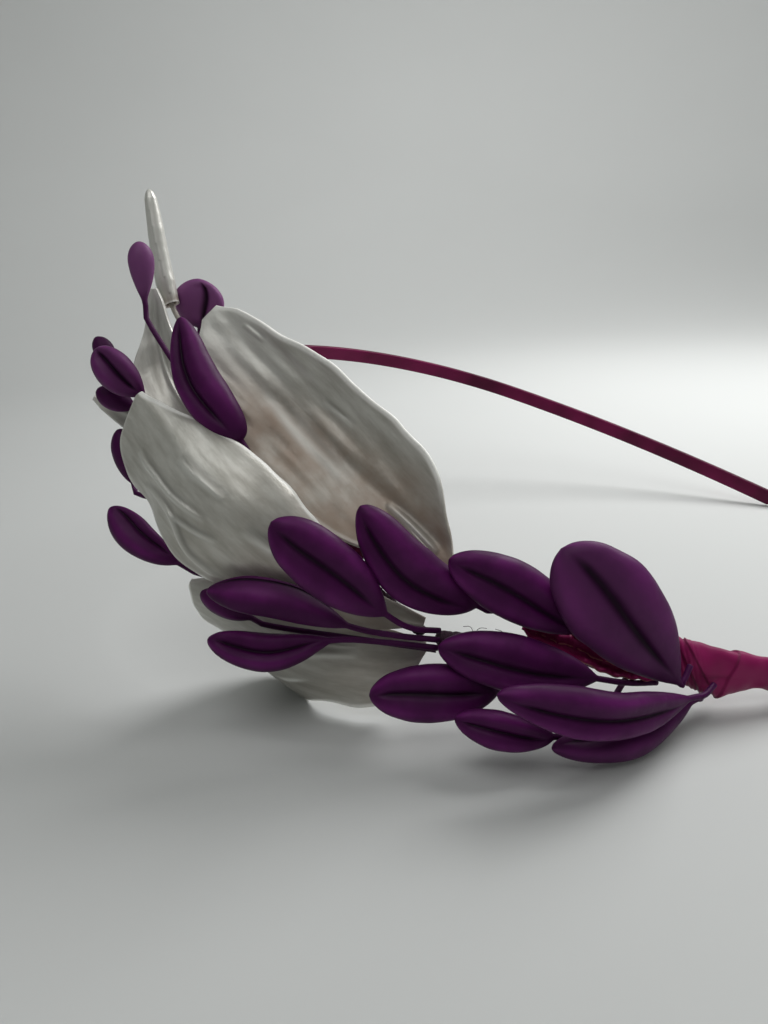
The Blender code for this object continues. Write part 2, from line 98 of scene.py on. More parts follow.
# Each neck is rooted on its carrier: along is a share of a wire's or the binding's length, or the
# place in X on the band; around is degrees about it (0 up, 90 towards the viewer, 180 down), or the
# height on the band. Face turns the pod about its own length, bow bends its middle towards the
# viewer, arch bends it upwards, and taper says how slender its base is. Groove is the angle of its
# groove off the middle of its face, and the last column is how much painted light pales its paint, from 0 to
# 1.
POD_COLUMNS = ("name", "carrier", "along", "around", "base", "tip", "width", "depth", "face", "bow", "arch",
               "taper", "groove", "painted_light")
PODS = [
    ("pod_01", "binding", 0.15, 70, (122, -66, -1.5), (97.5, -69, 14), 15, 6.5, 8, 1.5, 0, 0.95, -4, 0.22),
    ("pod_02", "band", 108, 0.5, (105.5, -67, 1), (82, -73, 7), 9.5, 5.5, 0, 1, 0.5, 0.7, 8, 0),
    ("pod_03", "band", 92.5, -0.5, (88.5, -70, -0.5), (66.5, -76, 11.5), 9.5, 5.5, 0, 1, -3, 0.6, 20, 0),
    ("pod_04", "branch", 0.99, 45, (76, -78.5, -3.5), (55.5, -83.5, 7), 10, 5.5, 0, 1, 0, 0.75, 4, 0),
    ("pod_05", "branch", 0.99, 90, (71, -79, -8), (47.5, -84.5, -9), 6.5, 5, 0, 0.5, 1.5, 0.8, -60, 0),
    ("pod_06", "branch", 0.99, 135, (69, -79.5, -11.5), (49, -84, -18.5), 6.5, 5, -25, 0.5, -2, 0.8, 0, 0),
    ("pod_07", "branch", 0.05, 140, (110.5, -70, -4.5), (85.5, -79, -5), 9, 6, -10, 1, 0, 0.75, 10, 0),
    ("pod_08", "branch", 0.55, 120, (96.5, -75.5, -10), (78, -83, -16), 9.5, 6, 0, 1, 0, 0.65, 0, 0),
    ("pod_09", "branch", 0.16, 190, (106.5, -81, -10.5), (92, -84.5, -12), 6, 4.5, 0, 0.5, -0.5, 0.65, 4, 0),
    ("pod_10", "binding", 0.3, 95, (125, -67, -3), (96.5, -88, -2.5), 7.5, 5, 0, 3.5, -2, 0.8, 12, 0),
    ("pod_11", "binding", 0.2, 150, (126, -64.5, -5), (107, -83, -11), 6, 4.5, -20, 1, -2, 0.8, -25, 0.1),
    ("pod_12", UPPER, 0.9, 0, (41.5, -69.5, 11.5), (23, -63.5, 26.5), 8, 5.5, 0, 1, -2, 0.4, 14, 0),
    ("pod_13", UPPER, 0.99, 78, (12.5, -58.5, 25), (8, -56, 35), 4.8, 4, 0, 0, 0, 1.2, 180, 0.75),
    ("pod_14", UPPER, 0.93, -60, (15.5, -43.5, 20), (13.5, -43.5, 29), 10.5, 5.5, 10, 0, 0, 0.6, -22, 0.8),
    ("pod_15", UPPER, 0.99, 118, (18.5, -64.5, 10.5), (8.5, -66, 16.5), 7, 6, 0, 0.5, -0.5, 0.8, 0, 0.25),
    ("pod_16", UPPER, 0.99, 205, (6.5, -57.5, 11), (1.5, -57, 15), 4, 3.5, 0, 0, 0, 0.8, 150, 0),
    ("pod_17", UPPER, 0.99, 160, (15.5, -62.5, 6.5), (9, -65.5, 8.5), 4.5, 4, 0, 0, 0, 0.8, 120, 0),
    ("pod_18", UPPER, 0.85, 180, (18, -64, -7.5), (13, -63, 1.5), 5, 4.5, 0, 0, 0, 0.8, 140, 0),
    ("pod_19", UPPER, 0.6, 180, (35.5, -73.5, -14), (19.5, -72.5, -9.5), 6.5, 4.5, 0, 0.5, -1, 0.8, -30, 0),
    ("pod_20", "branch", 0.99, 180, (54, -79, -14.5), (44, -79.5, -13.5), 4.5, 4, 0, 0, 0, 0.8, 90, 0),
]

LEAF_COLUMNS = ("share", "left", "right", "left_cup", "right_cup", "twist")
LEAVES = {
    "back_leaf": dict(
        midrib=[(82.0, -69.0, 3.0), (69.5, -65.0, 7.5), (49.0, -58.5, 15.5), (23.5, -55.0, 26.0)],
        sections=[
            (0.00, 1.5, 1.5, 15, 15, 0),
            (0.08, 2.5, 5.0, 30, 30, 0),
            (0.18, 8.0, 9.5, 35, 35, 0),
            (0.45, 13.5, 10.5, 35, 40, 0),
            (0.63, 14.0, 9.5, 30, 40, 0),
            (0.79, 12.0, 7.0, 25, 35, 0),
            (0.92, 7.5, 5.0, 15, 25, 0),
            (1.00, 1.5, 2.5, 10, 10, 0),
        ],
    ),
    "front_leaf": dict(
        midrib=[(81.5, -73.0, -5.5), (68.0, -74.5, -6.0), (46.0, -79.0, 4.0), (21.5, -70.5, 13.0)],
        sections=[
            (0.00, 0.8, 0.8, -10, -10, 0),
            (0.10, 2.5, 2.0, -20, -20, 0),
            (0.25, 6.5, 4.0, -30, -30, 5),
            (0.40, 11.5, 8.0, -45, -45, 5),
            (0.60, 14.0, 9.5, -45, -45, 0),
            (0.78, 11.5, 7.0, -45, -40, 0),
            (0.88, 10.5, 3.5, -35, -25, 0),
            (0.96, 6.0, 1.5, -20, -15, 0),
            (1.00, 1.0, 0.8, -10, -10, 0),
        ],
    ),
    "lower_leaf": dict(
        midrib=[(83.0, -72.0, -10.5), (74.0, -74.0, -14.0), (61.0, -74.0, -17.5), (38.0, -72.0, -18.0)],
        sections=[
            (0.00, 0.8, 0.8, -10, -10, 0),
            (0.15, 9.5, 3.0, -25, -25, 0),
            (0.35, 11.0, 4.0, -35, -30, 0),
            (0.64, 18.5, 4.0, -115, -30, 0),
            (0.82, 12.0, 3.5, -120, -20, 0),
            (1.00, 0.8, 0.8, -10, -10, 0),
        ],
    ),
    "twisted_leaf": dict(
        midrib=[(42.5, -67.5, 5.5), (21.0, -56.5, 9.5), (12.5, -52.5, 17.5), (8.5, -50.5, 26.0)],
        sections=[
            (0.00, 0.8, 0.8, 10, 10, 0),
            (0.35, 3.0, 2.0, 20, 20, 0),
            (0.65, 6.5, 3.5, 30, 30, 0),
            (0.85, 2.0, 2.5, 25, 25, 0),
            (1.00, 0.8, 0.8, 10, 10, 0),
        ],
    ),
    "small_leaf": dict(
        midrib=[(42.0, -69.0, 3.0), (24.0, -64.0, 3.0), (14.0, -60.5, 3.5), (6.5, -62.5, 5.5)],
        sections=[
            (0.00, 0.6, 0.6, 10, 10, 0),
            (0.60, 1.5, 1.5, 20, 20, 0),
            (0.80, 2.2, 2.2, 25, 25, 0),
            (1.00, 0.6, 0.6, 10, 10, 0),
        ],
    ),
}

# What marks each leaf: the depth of its hammered relief and of its wavy edges in millimetres, how much
# of a bare rim its left and its right edge show, more on the edge that faces the light, which paints light
# onto the rim, how much warm painted shade it carries, how strong a painted highlight lies on its tip, and
# how metallic its paint
LEAF_MARKS = {
    "back_leaf": dict(relief=0.15, edge=0.25, lit_rims=(0.25, 1.0), painted_shade=1.00, tip_highlight=0.75, metallic=0.22),
    "front_leaf": dict(relief=0.12, edge=0.28, lit_rims=(0.25, 1.0), painted_shade=0.75, tip_highlight=0.0, metallic=0.30),
    "lower_leaf": dict(relief=0.15, edge=0.30, lit_rims=(0.9, 0.2), painted_shade=0.40, tip_highlight=0.2, metallic=0.10),
    "twisted_leaf": dict(relief=0.08, edge=0.12, lit_rims=(0.3, 0.3), painted_shade=0.15, tip_highlight=0.6, metallic=0.40),
    "small_leaf": dict(relief=0.05, edge=0.10, lit_rims=(0.2, 0.2), painted_shade=0.20, tip_highlight=0.0, metallic=0.15),
}

# Raised lines on the leaves: points as the share of the length and the place across (-1 at the left
# edge, 1 at the right), then the line's height and half-width in millimetres
LEAF_LINES = [
    ("front_leaf", [(0.60, -0.30), (0.67, -0.40), (0.75, -0.50), (0.87, -0.50)], 0.60, 0.55),
    ("front_leaf", [(0.60, 0.03), (0.77, -0.10)], 0.30, 0.60),
    ("front_leaf", [(0.48, -0.80), (0.575, -0.77), (0.69, -0.62), (0.80, -0.77)], 0.50, 0.50),
    ("front_leaf", [(0.55, -0.40), (0.69, -0.62)], 0.35, 0.45),
    ("front_leaf", [(0.30, 0.05), (0.52, -0.10)], 0.35, 0.70),
    ("back_leaf", [(0.05, 0.18), (0.12, 0.10), (0.24, 0.00)], 0.60, 0.70),
    ("back_leaf", [(0.82, 0.58), (0.90, 0.62)], 0.30, 0.45),
    ("back_leaf", [(0.46, 0.42), (0.58, 0.36)], 0.25, 0.50),
    ("back_leaf", [(0.35, -0.20), (0.55, -0.25), (0.75, -0.15)], 0.15, 1.20),
    ("lower_leaf", [(0.25, -0.10), (0.45, -0.20), (0.65, -0.25)], 0.25, 0.60),
    ("twisted_leaf", [(0.15, 0.00), (0.55, 0.00), (0.98, 0.00)], 0.60, 0.45),
    ("small_leaf", [(0.30, 0.00), (0.95, 0.00)], 0.25, 0.40),
]

# Chips that show the white ground: leaf, share of the length, place across, length and width in millimetres
LEAF_CHIPS = [
    ("front_leaf", 0.74, -1.00, 1.2, 1.0),
    ("front_leaf", 0.52, -0.98, 0.8, 0.5),
    ("back_leaf", 0.30, 0.97, 1.5, 0.4),
    ("lower_leaf", 0.50, -0.55, 2.0, 0.4),
]

# Slender rolled leaf that stands up on its own wire: share of the length and radius
BUD_ROUTE = [(43, -67, 7), (31, -57.5, 13.5), (19, -50, 18), (10, -47.5, 25), (0.5, -44, 42.5)]
BUD_SECTIONS = [
    (0.65, 1.6),
    (0.72, 1.9),
    (0.88, 1.6),
    (0.97, 1.2),
    (1.00, 0.6),
]
BUD_WIRE_ENDS = 0.70


class HoopSizes(bpy.types.PropertyGroup):
    """The hoop and the way that it lies on the table"""
    band_width: bpy.props.FloatProperty(
        name="Band width", description="Height of the flat band", default=4.0 * MM, unit="LENGTH")
    band_thickness: bpy.props.FloatProperty(
        name="Band thickness", description="Thickness of the covered band", default=1.7 * MM, unit="LENGTH")
    crown_half_width: bpy.props.FloatProperty(
        name="Crown half-width", description="Half of the hoop's greatest width", default=67.0 * MM,
        unit="LENGTH")
    crown_depth: bpy.props.FloatProperty(
        name="Crown depth", description="Depth of the round crown", default=68.0 * MM, unit="LENGTH")
    arm_length: bpy.props.FloatProperty(
        name="Arm length", description="Length of each arm in X", default=82.0 * MM, unit="LENGTH")
    arm_draw_in: bpy.props.FloatProperty(
        name="Arm draw-in", description="How far each tip draws in", default=17.8 * MM, unit="LENGTH")
    rest_slope: bpy.props.FloatProperty(
        name="Resting slope", description="Tilt of the hoop on the table", default=math.radians(19.0),
        subtype="ANGLE")
    rest_shift: bpy.props.FloatVectorProperty(
        name="Resting place", description="Where the middle of the crown lies",
        default=(-70.7 * MM, 10.3 * MM, 50.7 * MM), subtype="TRANSLATION")


class RibbonLooks(bpy.types.PropertyGroup):
    """The satin ribbon of the band and the binding"""
    # The deep colour is the low end of the ribbon's drifting tone and the painted shade in its folds
    deep: bpy.props.FloatVectorProperty(
        name="Deep colour", description="Ribbon colour in its folds", default=(0.075, 0.003, 0.026),
        subtype="COLOR")
    bright: bpy.props.FloatVectorProperty(
        name="Bright colour", description="Ribbon colour on its face", default=(0.175, 0.006, 0.062),
        subtype="COLOR")
    frayed: bpy.props.FloatVectorProperty(
        name="Frayed edge", description="Colour of the frayed edge", default=(0.42, 0.16, 0.14),
        subtype="COLOR")
    wrap_step: bpy.props.FloatProperty(
        name="Wrap step", description="Height of each turn's edge on the binding", default=0.32 * MM,
        unit="LENGTH")
    pleat: bpy.props.FloatProperty(
        name="Pleat depth", description="Depth of the ribbon end's pleats", default=0.5 * MM, unit="LENGTH")


class WireLooks(bpy.types.PropertyGroup):
    """The wires and the tape that binds them"""
    branch_radius: bpy.props.FloatProperty(
        name="Branch radius", description="Radius of the bound wires", default=1.2 * MM, unit="LENGTH")
    upper_radius: bpy.props.FloatProperty(
        name="Upper radius", description="Radius of the upper bound wires", default=1.0 * MM, unit="LENGTH")
    neck_radius: bpy.props.FloatProperty(
        name="Neck radius", description="Radius of each pod's wire", default=0.5 * MM, unit="LENGTH")
    tape: bpy.props.FloatVectorProperty(
        name="Tape", description="Colour of the tape", default=(0.020, 0.002, 0.012), subtype="COLOR")
    # Painted highlight on the raised crinkles of the tape
    tape_highlight: bpy.props.FloatVectorProperty(
        name="Tape crests", description="Colour of the tape's raised crinkles", default=(0.075, 0.012, 0.050),
        subtype="COLOR")


class PodLooks(bpy.types.PropertyGroup):
    """The double-lobed pods"""
    # The deep colour is painted shade in the groove
    deep: bpy.props.FloatVectorProperty(
        name="Deep colour", description="Paint in the groove", default=(0.006, 0.0004, 0.006),
        subtype="COLOR")
    body: bpy.props.FloatVectorProperty(
        name="Body colour", description="Paint on the lobes", default=(0.066, 0.004, 0.062),
        subtype="COLOR")
    # Painted light: the paler paint of the pods that catch the most light
    painted_light: bpy.props.FloatVectorProperty(
        name="Faded paint", description="Paint of the most faded pods", default=(0.22, 0.075, 0.21),
        subtype="COLOR")
    # Painted highlight along the crest of each lobe
    crest_highlight: bpy.props.FloatVectorProperty(
        name="Crest colour", description="Rubbed paint along the lobes", default=(0.16, 0.016, 0.15),
        subtype="COLOR")
    valley_depth: bpy.props.FloatProperty(
        name="Valley depth", description="Depth of the soft valley as a share of the half-depth",
        default=0.42, subtype="FACTOR")
    valley_spread: bpy.props.FloatProperty(
        name="Valley spread", description="Angle that the valley takes up to each side",
        default=math.radians(33.0), subtype="ANGLE")
    slit_depth: bpy.props.FloatProperty(
        name="Slit depth", description="Depth of the slit as a share of the half-depth", default=0.22,
        subtype="FACTOR")
    slit_spread: bpy.props.FloatProperty(
        name="Slit spread", description="Angle that the slit takes up to each side",
        default=math.radians(7.0), subtype="ANGLE")


class LeafLooks(bpy.types.PropertyGroup):
    """The silver-painted leaves"""
    thickness: bpy.props.FloatProperty(
        name="Thickness", description="Thickness of a leaf at its middle", default=1.3 * MM, unit="LENGTH")
    rim_thickness: bpy.props.FloatProperty(
        name="Rim thickness", description="Thickness of a leaf near its edge", default=0.8 * MM,
        unit="LENGTH")
    dull: bpy.props.FloatVectorProperty(
        name="Dull silver", description="Paint in the strokes' shade", default=(0.37, 0.355, 0.31),
        subtype="COLOR")
    clear: bpy.props.FloatVectorProperty(
        name="Clear silver", description="Paint on the strokes", default=(0.66, 0.65, 0.60), subtype="COLOR")
    # Warm painted shade towards the leaves' bases, over the back leaf's shaded half and in the rolled leaf's
    # hollow
    shade_tone: bpy.props.FloatVectorProperty(
        name="Warm tone", description="Brown tone that shows through", default=(0.30, 0.225, 0.17),
        subtype="COLOR")
    # Painted shade and painted highlight on the two sides of each raised line; the light colour is also the
    # painted highlight on the tips and on the rolled leaf
    shade: bpy.props.FloatVectorProperty(
        name="Line shade", description="Dark side of the raised lines", default=(0.16, 0.155, 0.14),
        subtype="COLOR")
    light: bpy.props.FloatVectorProperty(
        name="Line light", description="Bright side of the raised lines, and light tips",
        default=(0.90, 0.90, 0.85), subtype="COLOR")
    rim: bpy.props.FloatVectorProperty(
        name="Rim", description="Bare pale rim", default=(0.96, 0.95, 0.90), subtype="COLOR")


class StageSettings(bpy.types.PropertyGroup):
    """The table, the lights and the camera"""
    table: bpy.props.FloatVectorProperty(
        name="Table", description="Colour of the table", default=(0.62, 0.63, 0.62), subtype="COLOR")
    camera_place: bpy.props.FloatVectorProperty(
        name="Camera place", description="Where the camera is", default=(0.0396, -0.1709, 0.0794),
        subtype="TRANSLATION")
    camera_pan: bpy.props.FloatProperty(
        name="Pan", description="Camera turn to the left of +Y", default=math.radians(20.7), subtype="ANGLE")
    camera_tilt: bpy.props.FloatProperty(
        name="Tilt", description="Camera tilt below the horizon", default=math.radians(19.7), subtype="ANGLE")
    camera_roll: bpy.props.FloatProperty(
        name="Roll", description="Camera roll", default=math.radians(-3.8), subtype="ANGLE")
    camera_lens: bpy.props.FloatProperty(
        name="Lens", description="Focal length on a 36 mm frame", default=27.07, unit="CAMERA")


class FascinatorSettings(bpy.types.PropertyGroup):
    """All the sizes and colours of the headband fascinator"""
    hoop: bpy.props.PointerProperty(name="Hoop", description="Sizes of the hoop", type=HoopSizes)
    ribbon: bpy.props.PointerProperty(name="Ribbon", description="The satin ribbon", type=RibbonLooks)
    wires: bpy.props.PointerProperty(name="Wires", description="The bound wires", type=WireLooks)
    pods: bpy.props.PointerProperty(name="Pods", description="The purple pods", type=PodLooks)
    leaves: bpy.props.PointerProperty(name="Leaves", description="The silver leaves", type=LeafLooks)
    stage: bpy.props.PointerProperty(name="Stage", description="Table, lights and camera", type=StageSettings)


def settings():
    """The sizes and colours that the scene holds."""
    return bpy.context.scene.fascinator


# Paths and directions

def unit(vectors):
    """Vectors divided by their lengths."""
    vectors = np.asarray(vectors, float)
    return vectors / np.linalg.norm(vectors, axis=-1, keepdims=True)


def smooth_path(knots, shares):
    """Points at shares of the length of a Catmull-Rom curve: each stretch is a cubic through two knots,
    with its slope at each set by the knots on either side."""
    knots = np.asarray(knots, float)
    ends = np.vstack([2 * knots[0] - knots[1], knots, 2 * knots[-1] - knots[-2]])
    step = np.linspace(0, 1, 40, endpoint=False)[None, :, None]
    before, start, end, after = (ends[k:k + len(knots) - 1][:, None] for k in range(4))
    dense = 0.5 * (2 * start + (end - before) * step + (2 * before - 5 * start + 4 * end - after) * step**2
                   + (3 * start - before - 3 * end + after) * step**3)
    dense = np.vstack([dense.reshape(-1, 3), knots[-1:]])
    run = np.r_[0, np.cumsum(np.linalg.norm(np.diff(dense, axis=0), axis=1))]
    return np.stack([np.interp(np.asarray(shares) * run[-1], run, dense[:, k]) for k in range(3)], axis=-1)


def path_length(path):
    """Length of a path: the sum of its steps."""
    return np.linalg.norm(np.diff(path, axis=0), axis=1).sum()


def full_turn(count):
    """Angles of evenly spread points round a ring."""
    return np.linspace(0, 2 * math.pi, count, endpoint=False)


def square_frames(path, face=TOWARD_VIEWER):
    """Side and face directions along a path: the face is what is left of the given one when its part
    along the path is taken away, and the side is square to both."""
    tangent = unit(np.gradient(path, axis=0))
    face = np.broadcast_to(np.asarray(face, float), path.shape)
    face = unit(face - (face * tangent).sum(axis=1, keepdims=True) * tangent)
    return np.cross(tangent, face), face


def turned(side, face, degrees):
    """Side and face turned about the path by an angle for each station."""
    angle = np.radians(np.broadcast_to(degrees, len(side)))[:, None]
    return side * np.cos(angle) + face * np.sin(angle), face * np.cos(angle) - side * np.sin(angle)


def eased_columns(columns, rows, share):
    """Every column of a section table at the given shares, under its own name: cubic steps between rows,
    whose slopes at each row are those of its neighbours."""
    table = np.array(rows, float)
    knots = table[:, 0]
    k = np.clip(np.searchsorted(knots, share) - 1, 0, len(table) - 2)
    step = knots[k + 1] - knots[k]
    t = (share - knots[k]) / step
    found = {}
    for name, column in zip(columns[1:], table.T[1:]):
        slope = np.gradient(column, knots)
        found[name] = ((2 * t**3 - 3 * t**2 + 1) * column[k] + (t**3 - 2 * t**2 + t) * step * slope[k]
                       + (-2 * t**3 + 3 * t**2) * column[k + 1] + (t**3 - t**2) * step * slope[k + 1])
    return found


def smooth_step(low, high, value):
    """0 below low, 1 above high, and a cubic ease between."""
    t = np.clip((value - low) / (high - low), 0, 1)
    return t * t * (3 - 2 * t)


def bell(offset):
    """A bell curve: e to the power of minus the offset's square."""
    return np.exp(-offset**2)


def round_ends(share, steepness, power):
    """1 along the middle, and near each end a power of the distance from it."""
    return np.clip(np.minimum(share, 1 - share) * steepness, 0, 1)**power


def round_tip(share):
    """1 along a piece, and over its last stretch the quarter ellipse that closes its tip."""
    past = np.clip((share - TIP_CLOSES_FROM) / (1 - TIP_CLOSES_FROM), 0, 1)
    return np.sqrt(1 - past**2)


def ripples(u, v, long, short, seed, waves=9, whole=False):
    """Uneven ripples, mostly from -1 to 1: a sum of sine waves. Their lengths along u and along v, both in
    metres, are drawn from a range each by a seeded generator. For an angle v the second range holds
    whole counts of waves per turn."""
    draw = np.random.default_rng(seed)
    total = np.zeros(np.broadcast(u, v).shape)
    for _ in range(waves):
        rate_u = 2 * math.pi / draw.uniform(*long)
        rate_v = draw.integers(*short) if whole else 2 * math.pi / draw.uniform(*short)
        start = draw.uniform(0, 2 * math.pi)
        total = total + np.sin(rate_u * u + draw.choice((-1, 1)) * rate_v * v + start)
    return total / math.sqrt(waves) * 0.7


def lay_down(points):
    """Points of the hoop's frame, turned about Y by the resting slope and shifted to where they lie."""
    hoop = settings().hoop
    cosine, sine = math.cos(hoop.rest_slope), math.sin(hoop.rest_slope)
    x, y, z = np.moveaxis(np.asarray(points, float), -1, 0)
    return np.stack([cosine * x + sine * z, y, cosine * z - sine * x], axis=-1) + np.array(hoop.rest_shift)


# The hoop and what is rooted on it

def hoop_line(station):
    """Centre line of the band at a run along it from the middle of the crown: a quarter ellipse to each
    side, then an arm that draws in as the square of its length. The band's half length comes with it."""
    hoop = settings().hoop
    quarter = np.linspace(0, math.pi / 2, 400)
    crown = np.stack([hoop.crown_depth * (1 - np.cos(quarter)),
                      hoop.crown_half_width * np.sin(quarter)], axis=1)
    share = np.linspace(0, 1, 240)[1:]
    arm = np.stack([hoop.crown_depth + hoop.arm_length * share,
                    hoop.crown_half_width - hoop.arm_draw_in * share**2], axis=1)
    line = np.vstack([crown, arm])
    run = np.r_[0, np.cumsum(np.linalg.norm(np.diff(line, axis=0), axis=1))]
    station = np.asarray(station, float)
    x = np.interp(np.abs(station), run, line[:, 0])
    y = -np.sign(station) * np.interp(np.abs(station), run, line[:, 1])
    return np.stack([x, y, np.zeros_like(x)], axis=-1), run[-1]


def near_arm(x):
    """Centre of the decorated arm at a place in X, its direction, and the direction out of the hoop."""
    hoop = settings().hoop
    share = (np.asarray(x, float) - hoop.crown_depth) / hoop.arm_length
    y = -(hoop.crown_half_width - hoop.arm_draw_in * share**2)
    centre = np.stack([x, y, np.zeros_like(share)], axis=-1)
    slope = 2 * hoop.arm_draw_in * share / hoop.arm_length
    along = unit(np.stack([np.ones_like(slope), slope, np.zeros_like(slope)], axis=-1))
    outward = np.stack([along[..., 1], -along[..., 0], np.zeros_like(slope)], axis=-1)
    return centre, along, outward


def binding_surface(share, around, margin=0.0):
    """A point on the binding: an oval round the band and the wires under it, whose height, thickness,
    drop and reach follow the section table. Near the wires the section leans along the arm."""
    start, end = (place * MM for place in BINDING_X)
    share, around = np.asarray(share, float), np.asarray(around, float)
    centre, along, outward = near_arm(start + (end - start) * share)
    section = eased_columns(BINDING_COLUMNS, BINDING_SECTIONS, share)
    height, thickness, drop, reach = (section[name] * MM for name in BINDING_COLUMNS[1:])
    up = np.cos(around) * (height + margin) - drop
    out = np.sin(around) * (thickness + margin) + reach
    lean = -BINDING_SLANT * up * (1 - share)
    rise = np.stack([np.zeros_like(up), np.zeros_like(up), up], axis=-1)
    return centre + along * lean[..., None] + outward * out[..., None] + rise


def seat(carrier, along, around):
    """Where a neck is rooted: off its carrier's surface by the gap and the neck's radius."""
    wires = settings().wires
    clear = GAP + wires.neck_radius
    if carrier == "band":
        centre, _, outward = near_arm(np.array(along * MM))
        return centre + outward * (settings().hoop.band_thickness / 2 + clear) + np.array((0, 0, around * MM))
    angle = math.radians(around)
    if carrier == "binding":
        return binding_surface(along, angle, clear)
    radius = wires.upper_radius if carrier == UPPER else wires.branch_radius
    stops = np.clip((along - 0.01, along, along + 0.01), 0, 1)
    path = smooth_path(np.array(WIRE_ROUTES[carrier]) * MM, stops)
    side, face = square_frames(path)
    return path[1] + (side[1] * math.cos(angle) + face[1] * math.sin(angle)) * (radius + clear)


# Meshes

def tube_faces(rows, sides):
    """Four-sided faces between rows of a tube, and fans that join its two ends to a middle point each."""
    row, column = np.arange(rows - 1)[:, None], np.arange(sides)[None, :]
    beside = (column + 1) % sides
    quads = np.stack([row * sides + column, row * sides + beside, (row + 1) * sides + beside,
                      (row + 1) * sides + column], axis=-1).reshape(-1, 4)
    column, beside = column[0], beside[0]
    last = (rows - 1) * sides
    first_fan = np.stack([beside, column, np.full(sides, rows * sides)], axis=-1)
    last_fan = np.stack([last + column, last + beside, np.full(sides, rows * sides + 1)], axis=-1)
    return quads, np.vstack([first_fan, last_fan])


def tube_uv(rows, sides):
    """Corner coordinates for those faces: the share along the tube and the share round it."""
    row, column = np.meshgrid(np.arange(rows - 1), np.arange(sides), indexing="ij")
    along = np.stack([row, row, row + 1, row + 1], axis=-1) / (rows - 1)
    around = np.stack([column, column + 1, column + 1, column], axis=-1) / sides
    quads = np.stack([along, around], axis=-1).reshape(-1, 2)
    column = np.arange(sides)
    fans = []
    for end, corners in ((0, (column + 1, column, column + 0.5)), (1, (column, column + 1, column + 0.5))):
        around = np.stack(corners, axis=-1) / sides
        fans.append(np.stack([np.full((sides, 3), float(end)), around], axis=-1).reshape(-1, 2))
    return np.vstack([quads, *fans])


def enclosed_volume(points, quads, fans):
    """Six times the volume inside the faces, each taken as triangles from its first corner."""
    triangles = np.vstack([quads[:, [0, 1, 2]], quads[:, [0, 2, 3]], fans])
    a, b, c = (points[triangles[:, k]] for k in range(3))
    return np.einsum("ij,ij->", a, np.cross(b, c))


def make_piece(name, layers, material, stands_for, marks=()):
    """A piece out of one or more closed tubes. Each layer is a grid of points in the hoop's frame, rows
    along and sides round, and a dictionary of marks on those points that the material reads."""
    points, polygons, coordinates, values = [], [], [], {mark: [] for mark in marks}
    offset = 0
    for grid, layer_marks in layers:
        rows, sides = grid.shape[:2]
        body = lay_down(grid).reshape(-1, 3)
        body[:, 2] = np.maximum(body[:, 2], 0.0)
        ends = np.stack([body[:sides].mean(axis=0), body[-sides:].mean(axis=0)])
        cloud = np.vstack([body, ends])
        quads, fans = tube_faces(rows, sides)
        corners = tube_uv(rows, sides)
        if enclosed_volume(cloud - cloud.mean(axis=0), quads, fans) < 0:
            quads, fans = quads[:, ::-1], fans[:, ::-1]
            split = 4 * len(quads)
            corners = np.vstack([corners[:split].reshape(-1, 4, 2)[:, ::-1].reshape(-1, 2),
                                 corners[split:].reshape(-1, 3, 2)[:, ::-1].reshape(-1, 2)])
        points.append(cloud)
        polygons += (quads + offset).tolist() + (fans + offset).tolist()
        coordinates.append(corners)
        for mark in marks:
            value = np.broadcast_to(layer_marks.get(mark, 0.0), (rows, sides))
            values[mark].append(np.r_[value.ravel(), value[0].mean(), value[-1].mean()])
        offset += len(cloud)
    mesh = bpy.data.meshes.new(name)
    mesh.from_pydata(np.vstack(points).tolist(), [], polygons)
    corners = np.vstack(coordinates).astype(np.float32).ravel()
    mesh.uv_layers.new(name="surface").data.foreach_set("uv", corners)
    for mark in marks:
        attribute = mesh.attributes.new(mark, "FLOAT", "POINT")
        attribute.data.foreach_set("value", np.concatenate(values[mark]).astype(np.float32))
    mesh.shade_smooth()
    mesh.materials.append(material)
    piece = bpy.data.objects.new(name, mesh)
    bpy.context.scene.collection.objects.link(piece)
    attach(piece, BODY)
    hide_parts(stands_for)
    return piece


def set_off(path, side, face, out, lift):
    """Points off a path: out along its side direction and lift along its face direction."""
    return path[:, None] + side[:, None] * out[..., None] + face[:, None] * lift[..., None]


def tube_grid(path, radius, sides):
    """Rings of a round tube: each point is the path, plus the radius along side and face as the cosine
    and sine of the way round. The radius may differ at every point."""
    around = full_turn(sides)
    return set_off(path, *square_frames(path), np.cos(around) * radius, np.sin(around) * radius)


def front_and_back(front, back):
    """Rows that run across the front of a strip and return along its back."""
    return np.concatenate([front, back[:, ::-1][:, 1:-1]], axis=1)


def strip_grid(path, frames, middle, normal, thickness):
    """A closed strip: its front and its back are each half the thickness off the middle surface along
    the normal. Middle and normal hold a part out and a part up at each point."""
    front, back = (set_off(path, *frames, middle[0] + normal[0] * half, middle[1] + normal[1] * half)
                   for half in (thickness / 2, -thickness / 2))
    return front_and_back(front, back)


# Materials

def new_material(name):
    """A material, with its tree of nodes and its main shader."""
    material = bpy.data.materials.new(name)
    material.use_nodes = True
    tree = material.node_tree
    return material, tree, tree.nodes["Principled BSDF"]


def feed(tree, node, values):
    """Sets each socket of a node to a value, or links it when the value is another node's socket."""
    for socket, value in values.items():
        if isinstance(value, bpy.types.NodeSocket):
            tree.links.new(value, node.inputs[socket])
        else:
            node.inputs[socket].default_value = value


def add_node(tree, kind, values=None, **choices):
    """A new node, with its choices made and its sockets fed."""
    made = tree.nodes.new(kind)
    for choice, value in choices.items():
        setattr(made, choice, value)
    feed(tree, made, values or {})
    return made


def colour_mix(tree, factor, low, high):
    """Two colours mixed by a factor: the node takes the factor in socket 0 and the colours in 6 and 7."""
    low, high = (colour if isinstance(colour, bpy.types.NodeSocket) else (*colour, 1.0)
                 for colour in (low, high))
    return add_node(tree, "ShaderNodeMix", {0: factor, 6: low, 7: high}, data_type="RGBA").outputs[2]


